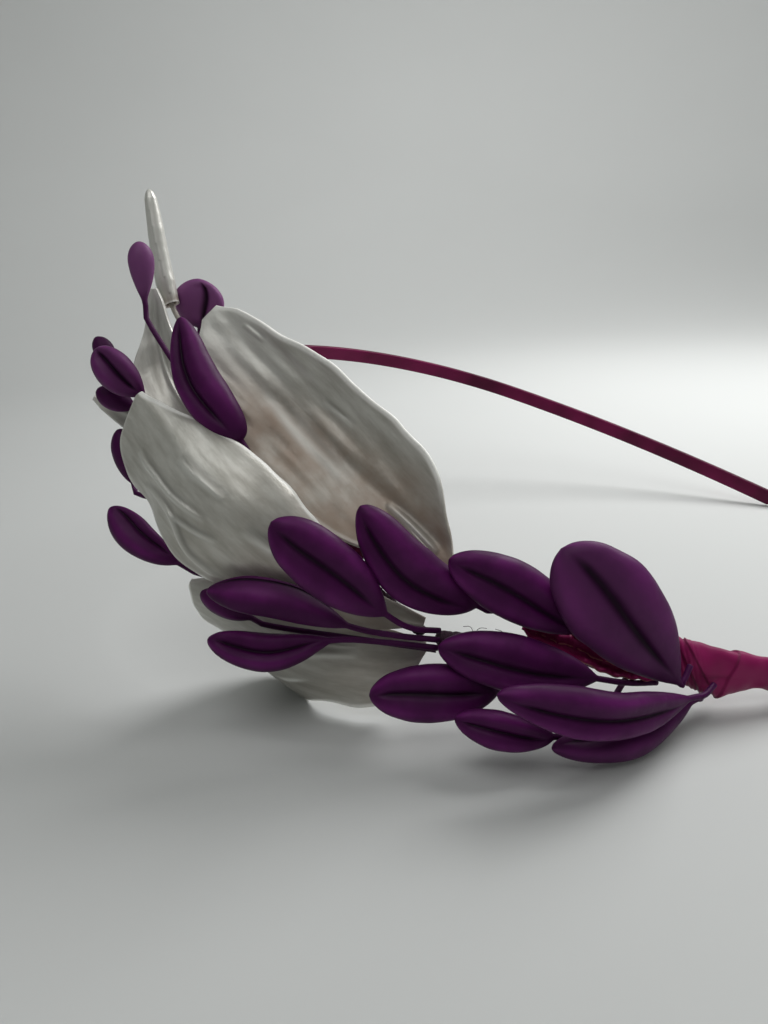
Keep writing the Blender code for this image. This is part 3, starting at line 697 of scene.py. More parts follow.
def math_node(tree, operation, first, second=0.0):
    """One step of arithmetic on two values."""
    return add_node(tree, "ShaderNodeMath", {0: first, 1: second}, operation=operation).outputs[0]


def mark_node(tree, mark):
    """The value of a mark that the piece carries on its points."""
    return add_node(tree, "ShaderNodeAttribute", attribute_name=mark).outputs["Fac"]


def marked(tree, mark, strength, paint, colour):
    """Paint that turns to a colour where the piece carries a mark."""
    factor = math_node(tree, "MULTIPLY", mark_node(tree, mark), strength)
    return colour_mix(tree, factor, paint, colour)


def stretched(tree, scale, source="UV"):
    """Coordinates of the piece's own surface, or of the object, stretched by a scale on each axis."""
    coordinates = add_node(tree, "ShaderNodeTexCoord").outputs[source]
    return add_node(tree, "ShaderNodeMapping", {"Vector": coordinates, "Scale": scale}).outputs[0]


def noise(tree, vector, detail, roughness=0.55):
    """Cloudy noise, one cloud to each unit of its coordinates, with finer noise added for each detail."""
    values = {"Vector": vector, "Scale": 1.0, "Detail": detail, "Roughness": roughness}
    return add_node(tree, "ShaderNodeTexNoise", values).outputs["Fac"]


def solid_noise(tree, rate, detail=3.0):
    """Noise through the body of a piece, at a rate of clouds to the metre."""
    return noise(tree, stretched(tree, (rate, rate, rate), "Object"), detail)


def ranged(tree, value, low, high, to_low=0.0, to_high=1.0):
    """A value between low and high brought to another range, with an eased step."""
    values = {"Value": value, "From Min": low, "From Max": high, "To Min": to_low, "To Max": to_high}
    return add_node(tree, "ShaderNodeMapRange", values, interpolation_type="SMOOTHSTEP").outputs["Result"]


def bumped(tree, height, strength, distance, below=None):
    """The way that a surface faces once a height is laid on it, over the relief below if there is one."""
    values = {"Height": height, "Strength": strength, "Distance": distance}
    if below is not None:
        values["Normal"] = below
    return add_node(tree, "ShaderNodeBump", values).outputs["Normal"]


def silver_paint(name, metallic):
    """Brushed silver paint: fine strokes along the leaf, a warm painted shade that is broken up in drifts,
    painted highlight and painted shade on the two sides of its raised lines and painted highlight on some
    tips, and a bare pale rim with a few chips."""
    looks = settings().leaves
    material, tree, shader = new_material(name)
    run, span = mark_node(tree, "run"), mark_node(tree, "span")
    stretch = {0: math_node(tree, "MULTIPLY", run, 110.0), 1: math_node(tree, "MULTIPLY", span, 520.0)}
    brushed = add_node(tree, "ShaderNodeCombineXYZ", stretch).outputs[0]
    strokes = noise(tree, brushed, 5.0, 0.6)
    drifts = solid_noise(tree, 110.0, 4.0)
    grain = solid_noise(tree, 1500.0)
    paint = colour_mix(tree, ranged(tree, strokes, 0.15, 0.85), looks.dull, looks.clear)
    # Warm painted shade, broken up by drifts, then the painted shade and painted highlight of the raised
    # lines and the tips
    paint = marked(tree, "painted_shade", ranged(tree, drifts, 0.25, 0.70, 0.35, 1.0), paint, looks.shade_tone)
    paint = marked(tree, "dark", 0.60, paint, looks.shade)
    paint = marked(tree, "bright", 0.55, paint, looks.light)
    paint = marked(tree, "rim", ranged(tree, grain, 0.20, 0.50, 0.75, 1.0), paint, looks.rim)
    painted = math_node(tree, "SUBTRACT", 1.0, mark_node(tree, "rim"))
    relief = bumped(tree, strokes, 0.35, 0.12 * MM)
    relief = bumped(tree, drifts, 0.30, 1.0 * MM, relief)
    feed(tree, shader, {
        "Base Color": paint,
        "Roughness": ranged(tree, strokes, 0.3, 0.7, 0.42, 0.30),
        "Metallic": math_node(tree, "MULTIPLY", painted, metallic),
        "Normal": bumped(tree, grain, 0.20, 0.04 * MM, relief),
    })
    return material


def purple_paint(name):
    """Satin purple paint: painted shade in the groove, a painted highlight along the crest of each lobe, and
    painted light that makes some pods paler than others."""
    looks = settings().pods
    material, tree, shader = new_material(name)
    cloud = solid_noise(tree, 160.0)
    grain = solid_noise(tree, 1700.0)
    darker = [0.75 * part for part in looks.body]
    paint = colour_mix(tree, ranged(tree, cloud, 0.3, 0.7), darker, looks.body)
    # Painted highlight along the crests
    paint = marked(tree, "crest_highlight", ranged(tree, cloud, 0.3, 0.7, 0.30, 0.75), paint, looks.crest_highlight)
    # Painted light on the paler pods
    paint = marked(tree, "painted_light", 1.0, paint, looks.painted_light)
    # Painted shade in the groove
    paint = marked(tree, "groove", 0.9, paint, looks.deep)
    feed(tree, shader, {
        "Base Color": paint,
        "Roughness": ranged(tree, cloud, 0.3, 0.7, 0.55, 0.44),
        "Specular IOR Level": 0.16,
        "Normal": bumped(tree, grain, 0.15, 0.03 * MM, bumped(tree, cloud, 0.30, 0.8 * MM)),
    })
    return material


def satin_ribbon(name, weave, strength):
    """Satin ribbon: a fine weave across it, colour that drifts along it, painted shade in its folds, a soft
    sheen, and frayed edges. Both colours are multiplied by the strength, which paints light onto a piece
    when it is above 1.
    """
    looks = settings().ribbon
    material, tree, shader = new_material(name)
    drift = solid_noise(tree, 60.0)
    threads = add_node(tree, "ShaderNodeTexWave", {"Vector": stretched(tree, weave), "Scale": 1.0,
                                                   "Distortion": 1.5, "Detail": 2.0}).outputs["Fac"]
    # Painted shade: the ribbon turns towards its deep colour in its folds
    folds = math_node(tree, "MULTIPLY", mark_node(tree, "fold_shade"), 0.8)
    shade = math_node(tree, "SUBTRACT", ranged(tree, drift, 0.3, 0.7), folds)
    # The strength multiplies both colours, so a strength above 1 paints light onto the piece
    low, high = ([strength * part for part in colour] for colour in (looks.deep, looks.bright))
    cloth = colour_mix(tree, math_node(tree, "MAXIMUM", shade, 0.0), low, high)
    cloth = marked(tree, "frayed", ranged(tree, drift, 0.2, 0.5, 0.5, 1.0), cloth, looks.frayed)
    feed(tree, shader, {
        "Base Color": cloth,
        "Roughness": 0.45,
        "Specular IOR Level": 0.18,
        "Normal": bumped(tree, threads, 0.25, 0.05 * MM),
    })
    return material


def wire_tape(name):
    """Dark crepe tape: rough, with fine crosswise crinkles, and a painted highlight where they rise."""
    looks = settings().wires
    material, tree, shader = new_material(name)
    crinkle = noise(tree, stretched(tree, (160.0, 9.0, 1.0)), 5.0)
    # Painted highlight: the tape is lighter where its crinkles rise
    paint = colour_mix(tree, ranged(tree, crinkle, 0.4, 0.75), looks.tape, looks.tape_highlight)
    relief = bumped(tree, crinkle, 0.5, 0.15 * MM)
    feed(tree, shader, {"Base Color": paint, "Roughness": 0.68, "Normal": relief})
    return material


def table_top(name):
    """Plain pale table, with clouds barely darker and lighter than its colour."""
    material, tree, shader = new_material(name)
    darker, lighter = ([share * part for part in settings().stage.table] for share in (0.98, 1.02))
    paint = colour_mix(tree, solid_noise(tree, 6.0, 2.0), darker, lighter)
    feed(tree, shader, {"Base Color": paint, "Roughness": 0.75, "Specular IOR Level": 0.2})
    return material


# Pieces

SILVER_MARKS = ("run", "span", "rim", "painted_shade", "bright", "dark")


class FASCINATOR_OT_band(bpy.types.Operator):
    """Build the ribbon-covered band"""
    bl_idname = "fascinator.band"
    bl_label = "Band"

    stations = 520
    sides = 40
    # Powers that square the section off in height and in thickness, and how far the ribbon is slack, as a
    # share of the thickness
    square_up = 0.35
    square_out = 0.55
    slack = 0.02

    def execute(self, context):
        """The section is a rounded oblong: each side is the cosine or sine to a small power."""
        hoop = settings().hoop
        half_run = hoop_line(0.0)[1]
        station = np.linspace(-half_run, half_run, self.stations)
        path = hoop_line(station)[0]
        tangent = unit(np.gradient(path, axis=0))
        outward = np.stack([-tangent[:, 1], tangent[:, 0], np.zeros(len(path))], axis=1)
        around = full_turn(self.sides)[None, :]
        up = np.sign(np.sin(around)) * np.abs(np.sin(around))**self.square_up * hoop.band_width / 2
        out = np.sign(np.cos(around)) * np.abs(np.cos(around))**self.square_out * hoop.band_thickness / 2
        share = np.linspace(0, 1, self.stations)[:, None]
        loose = ripples(station[:, None], around, (4 * MM, 30 * MM), (0, 3), seed=31, whole=True)
        tapered = round_ends(share, 260, 0.4)
        upward = np.broadcast_to((0.0, 0.0, 1.0), outward.shape)
        grid = set_off(path, outward, upward, out * (1 + self.slack * loose) * tapered, up * tapered)
        # Painted shade along the top and bottom edges of the band, where the ribbon folds round it
        edge_shade = 0.5 * bell(2.2 * np.cos(around)) + 0 * share
        make_piece("ribbon_band", [(grid, {"fold_shade": edge_shade})],
                   satin_ribbon("band satin", (900.0, 1.0, 1.0), 1.0), "band", ("fold_shade", "frayed"))
        return {"FINISHED"}


class FASCINATOR_OT_binding(bpy.types.Operator):
    """Build the ribbon wound round the arm and the wires"""
    bl_idname = "fascinator.binding"
    bl_label = "Binding"

    rings = 150
    sides = 96
    # Edges of the ribbon's turns: share of the length at the top of the arm, and lean per turn
    turns = ((0.10, 0.10), (0.17, 0.16), (0.52, -0.20), (0.80, 0.12))
    # Heights of what lies on the wrap, where along it the swell is, how far the whole is drawn in, how
    # deep its turned-in ends are, how close the gathers are and where they end, and how fast a turn's
    # height falls off past its edge
    gather_height = 0.12 * MM
    swell_height = 0.40 * MM
    swell_at = 0.33
    crease_depth = 0.25 * MM
    uneven_height = 0.20 * MM
    drawn_in = 0.35 * MM
    lip_depth = 1.2 * MM
    gather_rate = 190.0
    gathers_end = 0.30
    step_thins = 9.0

    def relief(self, share, around):
        """Each turn of ribbon starts with a step: the height rises at once at its edge, and past it falls
        off exponentially. Gathers, a sine along the wrap, cross its first stretch, and a bell-shaped swell
        with a crease beside it lies low on the viewer's side."""
        step = settings().ribbon.wrap_step
        height = np.zeros(np.broadcast(share, around).shape)
        # Painted shade just under the edge of each turn, in the troughs of the gathers and in the crease
        fold_shade = np.zeros_like(height)
        for start, lean in self.turns:
            past = share - start - lean * (0.5 - 0.5 * np.cos(around))
            falling = np.where(past < 0, 0.0, np.exp(-np.maximum(past, 0) * self.step_thins))
            height += step * falling * smooth_step(-0.008, 0.006, past)
            fold_shade += bell(past / 0.012) * (past < 0.01)
        gathers = np.sin(share * self.gather_rate + 2.0 * np.sin(around))
        gathers = gathers * smooth_step(self.gathers_end, 0.05, share)
        swell = bell((share - self.swell_at) / 0.12) * bell((around - 2.2) / 0.55)
        crease = bell((share - self.swell_at) / 0.14) * bell((around - 1.55) / 0.10)
        uneven = ripples(share * 24 * MM, around, (3 * MM, 12 * MM), (0, 4), seed=12, whole=True)
        height += self.gather_height * gathers + self.swell_height * swell - self.crease_depth * crease
        height += self.uneven_height * uneven - self.drawn_in
        fold_shade += 0.4 * np.clip(-gathers, 0, 1) + 0.6 * crease
        return height, np.clip(0.6 * fold_shade, 0, 1)

    def execute(self, context):
        """Two narrower rings at each end turn the wrap's edge inwards."""
        share = np.linspace(0, 1, self.rings)[:, None]
        around = full_turn(self.sides)[None, :]
        height, fold_shade = self.relief(share, around)
        share, around = np.broadcast_arrays(share, around)
        grid = binding_surface(share, around, height)
        lips = []
        for row, inward, shares in ((0, 1, (0.35, 0.75)), (-1, -1, (0.75, 0.35))):
            centre, along, _ = near_arm(np.array(BINDING_X[row] * MM))
            middle = (grid[row].mean(axis=0) + centre) / 2
            lips.append([middle + (grid[row] - middle) * part + along * inward * (1 - part) * self.lip_depth
                         for part in shares])
        grid = np.concatenate([lips[0], grid, lips[1]])
        # The turned-in ends lie wholly in painted shade
        fold_shade = np.pad(fold_shade, ((2, 2), (0, 0)), constant_values=1.0)
        # The binding's colours are 1.7 times the band's, which paints light onto it
        make_piece("ribbon_binding", [(grid, {"fold_shade": fold_shade})],
                   satin_ribbon("binding satin", (260.0, 3.0, 1.0), 1.7), "binding", ("fold_shade", "frayed"))
        return {"FINISHED"}


class FASCINATOR_OT_ribbon_end(bpy.types.Operator):
    """Build the pleated, frayed end of the ribbon"""
    bl_idname = "fascinator.ribbon_end"
    bl_label = "Ribbon end"

    stations = 160
    across_count = 25
    # The folded ribbon shows two layers: offset to the side, half-width, lift and seed of its waves
    layers = ((0.9, 1.9, 0.35, 4), (-0.9, 2.0, -0.15, 9))
    thickness = 0.28 * MM
    crimp_height = 0.20 * MM
    # How narrow the ribbon is at its two ends, as a share, and how far its edges wander in millimetres
    end_width = 0.35
    wander_width = 0.22

    def execute(self, context):
        """Each layer waves across and along: its edges wander as a seeded sum of sines."""
        looks = settings().ribbon
        share = np.linspace(0, 1, self.stations)
        path = smooth_path(np.array(RIBBON_END_ROUTE) * MM, share)
        run = share[:, None] * path_length(path)
        across = np.linspace(-1, 1, self.across_count)[None, :]
        fade = np.sin(np.clip(share, 0.02, 0.98) * math.pi)[:, None]**0.5
        grids = []
        for shift, half, lift, seed in self.layers:
            wander = ripples(run, 0 * across, (1.5 * MM, 7 * MM), (1.0, 2.0), seed=seed)
            width = half * (self.end_width + (1 - self.end_width) * fade)
            out = (shift * fade + width * across + self.wander_width * wander) * MM
            wave = np.sin(across * math.pi * 1.5 + seed) * looks.pleat * fade
            crimp = ripples(run, across * 2 * MM, (0.9 * MM, 3 * MM), (4 * MM, 12 * MM), seed=seed + 1)
            height = wave + self.crimp_height * crimp * fade + lift * MM
            thickness = self.thickness * np.sqrt(1 - across**8) + 0 * fade
            grid = strip_grid(path, square_frames(path), (out, height), (0.0, 1.0), thickness)
            edge = smooth_step(0.80, 0.97, np.abs(across)) + 0 * fade
            # Painted shade in the troughs of the pleats
            fold_shade = np.clip(-wave / looks.pleat, 0, 1)
            grids.append((grid, {"frayed": front_and_back(edge, edge), "fold_shade": front_and_back(fold_shade, fold_shade)}))
        # The tail's colours are 3 times the band's, which paints light onto a piece that lies in shade
        satin = satin_ribbon("tail satin", (2.0, 160.0, 1.0), 3.0)
        make_piece("ribbon_tail", grids, satin, "ribbon_end", ("fold_shade", "frayed"))
        return {"FINISHED"}


class FASCINATOR_OT_wires(bpy.types.Operator):
    """Build the wires bound in tape"""
    bl_idname = "fascinator.wires"
    bl_label = "Bound wires"

    stations = 260
    sides = 28
    pitch = 2.6 * MM
    overlap_swell = 0.16
    rough_swell = 0.10
    fibre_count = 14
    fibre_radius = 0.05 * MM

    def fibres(self, path, radius):
        """Stray fibres of the tape: each leaves the wires upwards, bends over and trails along them."""
        draw = np.random.default_rng(17)
        layers = []
        for _ in range(self.fibre_count):
            place = draw.integers(len(path) // 5, len(path) * 9 // 10)
            along = unit(path[place] - path[place - 5]) * draw.choice((-1, 1))
            rise = unit(np.array((0.0, draw.uniform(-0.5, 0.2), 1.0))) * draw.uniform(0.8, 2.0) * MM
            start = path[place] + unit(rise) * radius * 0.9
            bend = start + rise + along * draw.uniform(0.5, 1.5) * MM
            tip = bend + along * draw.uniform(0.8, 2.5) * MM + rise * draw.uniform(-0.4, 0.4)
            line = smooth_path([start, bend, tip], np.linspace(0, 1, 8))
            layers.append((tube_grid(line, self.fibre_radius, 5), {}))
        return layers

    def execute(self, context):
        """The tape winds round as a helix: at each turn the radius steps up and then thins out again."""
        wires = settings().wires
        tape = wire_tape("crepe tape")
        for node, radius in (("branch", wires.branch_radius), (UPPER, wires.upper_radius)):
            knots = np.array(WIRE_ROUTES[node]) * MM
            share = np.linspace(0, 1, self.stations)
            path = smooth_path(knots, share)
            length = path_length(path)
            around = np.linspace(0, 1, self.sides, endpoint=False)[None, :]
            turn = (share[:, None] * length / self.pitch + around) % 1.0
            rough = ripples(share[:, None] * length, around * 2 * math.pi, (0.8 * MM, 5 * MM), (0, 5), seed=5,
                            whole=True)
            swell = 1 + self.overlap_swell * (1 - turn)**2 + self.rough_swell * rough
            ends = round_ends(share, 60, 0.5)[:, None]
            grid = tube_grid(path, radius * swell * (0.2 + 0.8 * ends), self.sides)
            make_piece(f"taped_{node}", [(grid, {}), *self.fibres(path, radius)], tape, node)
        return {"FINISHED"}


class FASCINATOR_OT_pods(bpy.types.Operator):
    """Build the purple double-lobed pods on their wire necks"""
    bl_idname = "fascinator.pods"
    bl_label = "Pods"

    neck_stations = 16
    pod_stations = 72
    sides = 60
    tip_power = 0.58
    # How strongly a ring's points gather at the groove, and the angle and spread off the groove of the crest,
    # which carries a painted highlight
    gathering = 0.72
    crest_at = 0.85
    crest_spread = 0.35

    def profile(self, share, start):
        """Half-width along a pod, 1 where it is fullest: a power of the share from the base times a power of
        the share from the tip. The higher the first power, the more slender the base."""
        end = self.tip_power
        peak = start / (start + end)
        return (share / peak)**start * ((1 - share) / (1 - peak))**end

    def path(self, spec):
        """The neck and the pod in one curve: root, a bend halfway between the two directions, base, bowed
        middle and tip. Returns the path and how far along the pod each station is."""
        base, tip = np.array(spec["base"]) * MM, np.array(spec["tip"]) * MM
        root = seat(spec["carrier"], spec["along"], spec["around"])
        axis = unit(tip - base)
        up = unit(TOWARD_VIEWER - (TOWARD_VIEWER @ axis) * axis)
        middle = (base + tip) / 2 + up * spec["bow"] * MM + np.cross(axis, up) * spec["arch"] * MM
        neck_run, pod_run = np.linalg.norm(base - root), np.linalg.norm(tip - base)
        neck = np.linspace(0, neck_run, self.neck_stations, endpoint=False)
        pod = neck_run + pod_run * (1 - np.cos(np.linspace(0, math.pi, self.pod_stations))) / 2
        stops = np.r_[neck, pod]
        back = (unit(root - base) - axis) * min(pod_run, neck_run) / 4
        path = smooth_path([root, base + back, base, middle, tip], stops / stops[-1])
        return path, np.clip((stops - neck_run) / pod_run, 0, 1)

    def grid(self, spec, number):
        """An oval ring at each station, with its points gathered towards the groove. Its half-width is the
        fourth root of the sum of the fourth powers of the pod's and the neck's, and so is its half-depth.
        A wide soft valley and a narrow slit dent the face, each bell-shaped in the angle off the groove."""
        looks, neck_radius = settings().pods, settings().wires.neck_radius
        path, share = self.path(spec)
        side, face = square_frames(path)
        side, face = turned(side, face, spec["face"])
        run = share * math.dist(spec["tip"], spec["base"]) * MM
        wave = 1 + 0.03 * ripples(run, 0 * run, (7 * MM, 22 * MM), (1.0, 2.0), seed=40 + number, waves=4)
        full = self.profile(share, spec["taper"]) * MM / 2
        half_width, half_depth = (((full * size)**4 + neck_radius**4)**0.25 * round_tip(share)
                                  for size in (spec["width"] * wave, spec["depth"]))
        around = full_turn(self.sides)
        groove_at = math.pi / 2 + math.radians(spec["groove"])
        around = around + self.gathering * np.sin(groove_at - around)
        away = (around - groove_at + math.pi) % (2 * math.pi) - math.pi
        off = away[None, :] - 0.08 * np.sin(share * 5 + number)[:, None]
        fade = (smooth_step(0.03, 0.28, share) * smooth_step(TIP_CLOSES_FROM, 0.82, share))[:, None]
        valley = bell(off / looks.valley_spread) * fade
        slit = bell(off / looks.slit_spread) * fade
        dent = 1 - looks.valley_depth * valley - looks.slit_depth * slit
        fine = ripples(run[:, None], around[None, :], (3 * MM, 12 * MM), (0, 4), seed=80 + number, whole=True)
        x = np.cos(around)[None, :] * half_width[:, None] * (1 + 0.010 * fine)
        z = np.sin(around)[None, :] * half_depth[:, None] * (1 + 0.010 * fine) * dent
        # Painted highlight along the crest of each lobe
        crest_highlight = bell((np.abs(off) - self.crest_at) / self.crest_spread)
        crest_highlight = crest_highlight * smooth_step(0.05, 0.4, share)[:, None]
        # Painted light pales the pod outside its slit
        painted_light = spec["painted_light"] * (1 - slit) * smooth_step(0.0, 0.3, share)[:, None]
        # The slit carries painted shade
        return set_off(path, side, face, x, z), {"groove": slit**1.2, "crest_highlight": crest_highlight, "painted_light": painted_light}

    def execute(self, context):
        """All the pods share one paint, which reads how much painted light pales each of them."""
        paint = purple_paint("satin purple")
        for number, row in enumerate(PODS):
            spec = dict(zip(POD_COLUMNS, row))
            make_piece(f"purple_{spec['name']}", [self.grid(spec, number)], paint, spec["name"],
                       ("groove", "crest_highlight", "painted_light"))
        return {"FINISHED"}


class FASCINATOR_OT_leaves(bpy.types.Operator):
    """Build the silver leaves"""
    bl_idname = "fascinator.leaves"
    bl_label = "Silver leaves"

    stations = 180
    across_count = 121
    # How much wider each half is than its table says, in millimetres, how high the edges ruffle, how
    # strongly the points gather at the edges, and how far in the bare rim ends and starts to fade
    wider = 0.4
    ruffle_height = 0.40 * MM
    edge_gathering = 0.3
    rim_width = 1.2 * MM
    rim_solid = 0.50 * MM

    def lines(self, name, share, across, half):
        """Each raised line is a bell-shaped ridge along its points, which dies out at both ends. One side
        of it catches the light and the other is in its shade."""
        height, bright, dark = (np.zeros(half.shape) for _ in range(3))
        for leaf, points, tall, wide in LEAF_LINES:
            if leaf != name:
                continue
            first, last = points[0][0], points[-1][0]
            way = np.clip((share - first) / (last - first), 0, 1)
            line = eased_columns(("share", "across"), points, first + (last - first) * way)["across"]
            fade = np.sin(way * math.pi)**0.5
            off = (across - line) * half / (wide * MM)
            height += tall * MM * fade * bell(off)
            bright = np.maximum(bright, fade * bell(off + 0.3)**1.5)
            dark = np.maximum(dark, fade * bell(off - 1.4))
        return height, bright, dark

    def chips(self, name, run, length, span, half):
        """Each chip is a bell-shaped spot, longer than it is wide."""
        spots = np.zeros(span.shape)
        for leaf, share, across, long, wide in LEAF_CHIPS:
            if leaf == name:
                along = (run - share * length) / (long * MM)
                spots += bell(along) * bell((span - across * half) / (wide * MM))
        return np.clip(spots * 1.5, 0, 1)

    def grid(self, name, number):
        """A cupped blade: each half leaves the midrib on an arc of its cup angle. Long shallow ripples run
        along it, its edges waver, and its rim is thinner than its middle."""
        shape, marks, looks = LEAVES[name], LEAF_MARKS[name], settings().leaves
        share = np.linspace(0, 1, self.stations)
        share = (share + (1 - np.cos(share * math.pi)) / 2) / 2
        centre = smooth_path(np.array(shape["midrib"]) * MM, share)
        length = path_length(centre)
        side, face = square_frames(centre)
        section = eased_columns(LEAF_COLUMNS, shape["sections"], share)
        side, face = turned(side, face, section.pop("twist"))
        section = {name: value[:, None] for name, value in section.items()}
        even = np.linspace(-1, 1, self.across_count)
        gathered = even + self.edge_gathering * (np.sin(even * math.pi / 2) - even)
        across = gathered[None, :]
        share = share[:, None]
        run = share * length
        inner = smooth_step(0.0, 0.08, share) * smooth_step(1.0, 0.94, share)
        waver = ripples(run, np.sign(across) * MM, (7 * MM, 22 * MM), (1.0, 2.0), seed=60 + number) * inner
        half = np.where(across < 0, section["left"], section["right"]) + marks["edge"] * waver
        half = (half + self.wider * inner) * MM
        bend = np.radians(np.where(across < 0, section["left_cup"], section["right_cup"]))
        angle = bend * np.abs(across)
        out = np.sign(across) * np.sin(angle) / bend * half
        lift = (1 - np.cos(angle)) / bend * half
        normal = (-np.sign(across) * np.sin(angle), np.cos(angle))
        span = across * half
        hammered = ripples(run, span, (18 * MM, 60 * MM), (3 * MM, 9 * MM), seed=20 + number)
        height, bright, dark = self.lines(name, share, across, half)
        relief = (marks["relief"] * MM * hammered + height) * inner
        ruffle = ripples(run, np.sign(across) * MM, (9 * MM, 26 * MM), (1.0, 2.0), seed=90 + number)
        ruffle = ruffle * self.ruffle_height * min(1.0, marks["edge"] * 3)
        relief += ruffle * smooth_step(0.6, 1.0, np.abs(across)) * inner
        middle = (out + normal[0] * relief, lift + normal[1] * relief)
        thin = looks.rim_thickness + (looks.thickness - looks.rim_thickness) * (1 - across**2)
        thickness = thin * np.sqrt(np.clip(1 - np.abs(across)**60, 0, 1)) + 0 * share
        grid = strip_grid(centre, (side, face), middle, normal, thickness)
        from_edge = (1 - np.abs(across)) * np.maximum(half, 1e-6)
        # The rim shows more on the edge that faces the light, which paints light onto it
        weight = np.where(across < 0, *marks["lit_rims"]) * smooth_step(0.10, 0.22, share)
        rim = smooth_step(self.rim_width, self.rim_solid, from_edge) * weight
        rim = np.maximum(rim, self.chips(name, run, length, span, half))
        # Warm painted shade: on the back leaf to the left of a slanting border, and on the others towards
        # their base
        if name == "back_leaf":
            painted_shade = smooth_step(-0.45, 0.35, (0.62 - share) * 1.6 - across) * smooth_step(1.0, 0.85, share)
        else:
            painted_shade = smooth_step(0.75, 0.10, share) + 0 * across
        # Painted highlight on the tip
        bright = np.maximum(bright, marks["tip_highlight"] * smooth_step(0.60, 1.0, share) + 0 * across)
        values = {"run": run + 0 * across, "span": span, "rim": rim, "painted_shade": painted_shade * marks["painted_shade"],
                  "bright": bright, "dark": dark}
        return grid, {mark: front_and_back(value, value) for mark, value in values.items()}

    def execute(self, context):
        """Each leaf has a paint of its own, as some are more metallic than others."""
        for number, name in enumerate(LEAVES):
            paint = silver_paint(f"silver paint {number + 1}", LEAF_MARKS[name]["metallic"])
            make_piece(f"silver_{name}", [self.grid(name, number)], paint, name, SILVER_MARKS)
        return {"FINISHED"}


class FASCINATOR_OT_bud(bpy.types.Operator):
    """Build the slender rolled leaf that stands up"""
    bl_idname = "fascinator.bud"
    bl_label = "Silver bud"

    stations = 200
    sides = 48
    # The hollow at its open base: rings, and their radius as a share of the outer one
    inner_rings = 7
    inner_radius = 0.62
    # Where the leaf overlaps itself, as the angle at its base, the turn up to its tip and the step's height
    overlap_at = 1.1
    overlap_turn = 0.9
    overlap_step = 0.14
    # Length and radius that the strokes of its paint are laid out on
    paint_length = 60 * MM
    paint_radius = 1.7 * MM

    def rolled(self, knots):
        """The rolled leaf: rings start inside its open base, come down to the rim and go up the outside.
        The radius follows the section table, with a step that winds slowly up where the leaf overlaps."""
        start = BUD_SECTIONS[0][0]
        share = np.concatenate([np.linspace(start + 0.05, start + 0.004, self.inner_rings),
                                np.linspace(start, 1, self.stations)])
        inside = (np.arange(len(share)) < self.inner_rings)[:, None]
        dense = np.linspace(0, 1, 400)
        line = smooth_path(knots, dense)
        side, face = square_frames(line)
        path, side, face = (np.stack([np.interp(share, dense, read[:, k]) for k in range(3)], axis=1)
                            for read in (line, side, face))
        table = np.array(BUD_SECTIONS)
        radius = np.interp(share, table[:, 0], table[:, 1])[:, None] * MM
        around = full_turn(self.sides)[None, :]
        up = np.clip((share - start) / (1 - start), 0, 1)[:, None]
        overlap = (around - self.overlap_at - self.overlap_turn * up) % (2 * math.pi) / (2 * math.pi)
        swell = 1 + self.overlap_step * smooth_step(0.0, 0.1, up) * (overlap - 0.5)
        swell += 0.010 * ripples(up * 30 * MM, around, (3 * MM, 14 * MM), (0, 4), seed=7, whole=True)
        swell = swell * np.where(inside, self.inner_radius, 1.0)
        radius = radius * swell * round_tip(share)[:, None]
        grid = set_off(path, side, face, np.cos(around) * radius, np.sin(around) * radius)
        run = share[:, None] * self.paint_length + 0 * around
        # Warm painted shade at the open base and inside the hollow
        painted_shade = np.maximum(smooth_step(0.10, 0.0, up) * 0.9, inside * 1.0) + 0 * around
        lip = 0.7 * bell((up - 0.004) / 0.012) + 0.3 * bell((overlap - 0.98) / 0.03)
        # Painted highlight over the rolled leaf above its base
        bright = 0.8 * smooth_step(0.0, 0.3, up) + 0 * around
        return grid, {"run": run, "span": around * self.paint_radius + 0 * run, "painted_shade": painted_shade,
                      "bright": bright, "rim": np.where(inside, 0.0, lip)}

    def execute(self, context):
        """A thin wire leads up to the rolled leaf and ends inside it."""
        knots = np.array(BUD_ROUTE) * MM
        wire = smooth_path(knots, np.linspace(0, BUD_WIRE_ENDS, 80))
        wire = tube_grid(wire, settings().wires.neck_radius, 16)
        # The wire carries half of the warm painted shade all along
        make_piece("silver_rolled_leaf", [(wire, {"painted_shade": 0.5}), self.rolled(knots)],
                   silver_paint("bud silver", 0.3), "silver_bud", SILVER_MARKS)
        return {"FINISHED"}


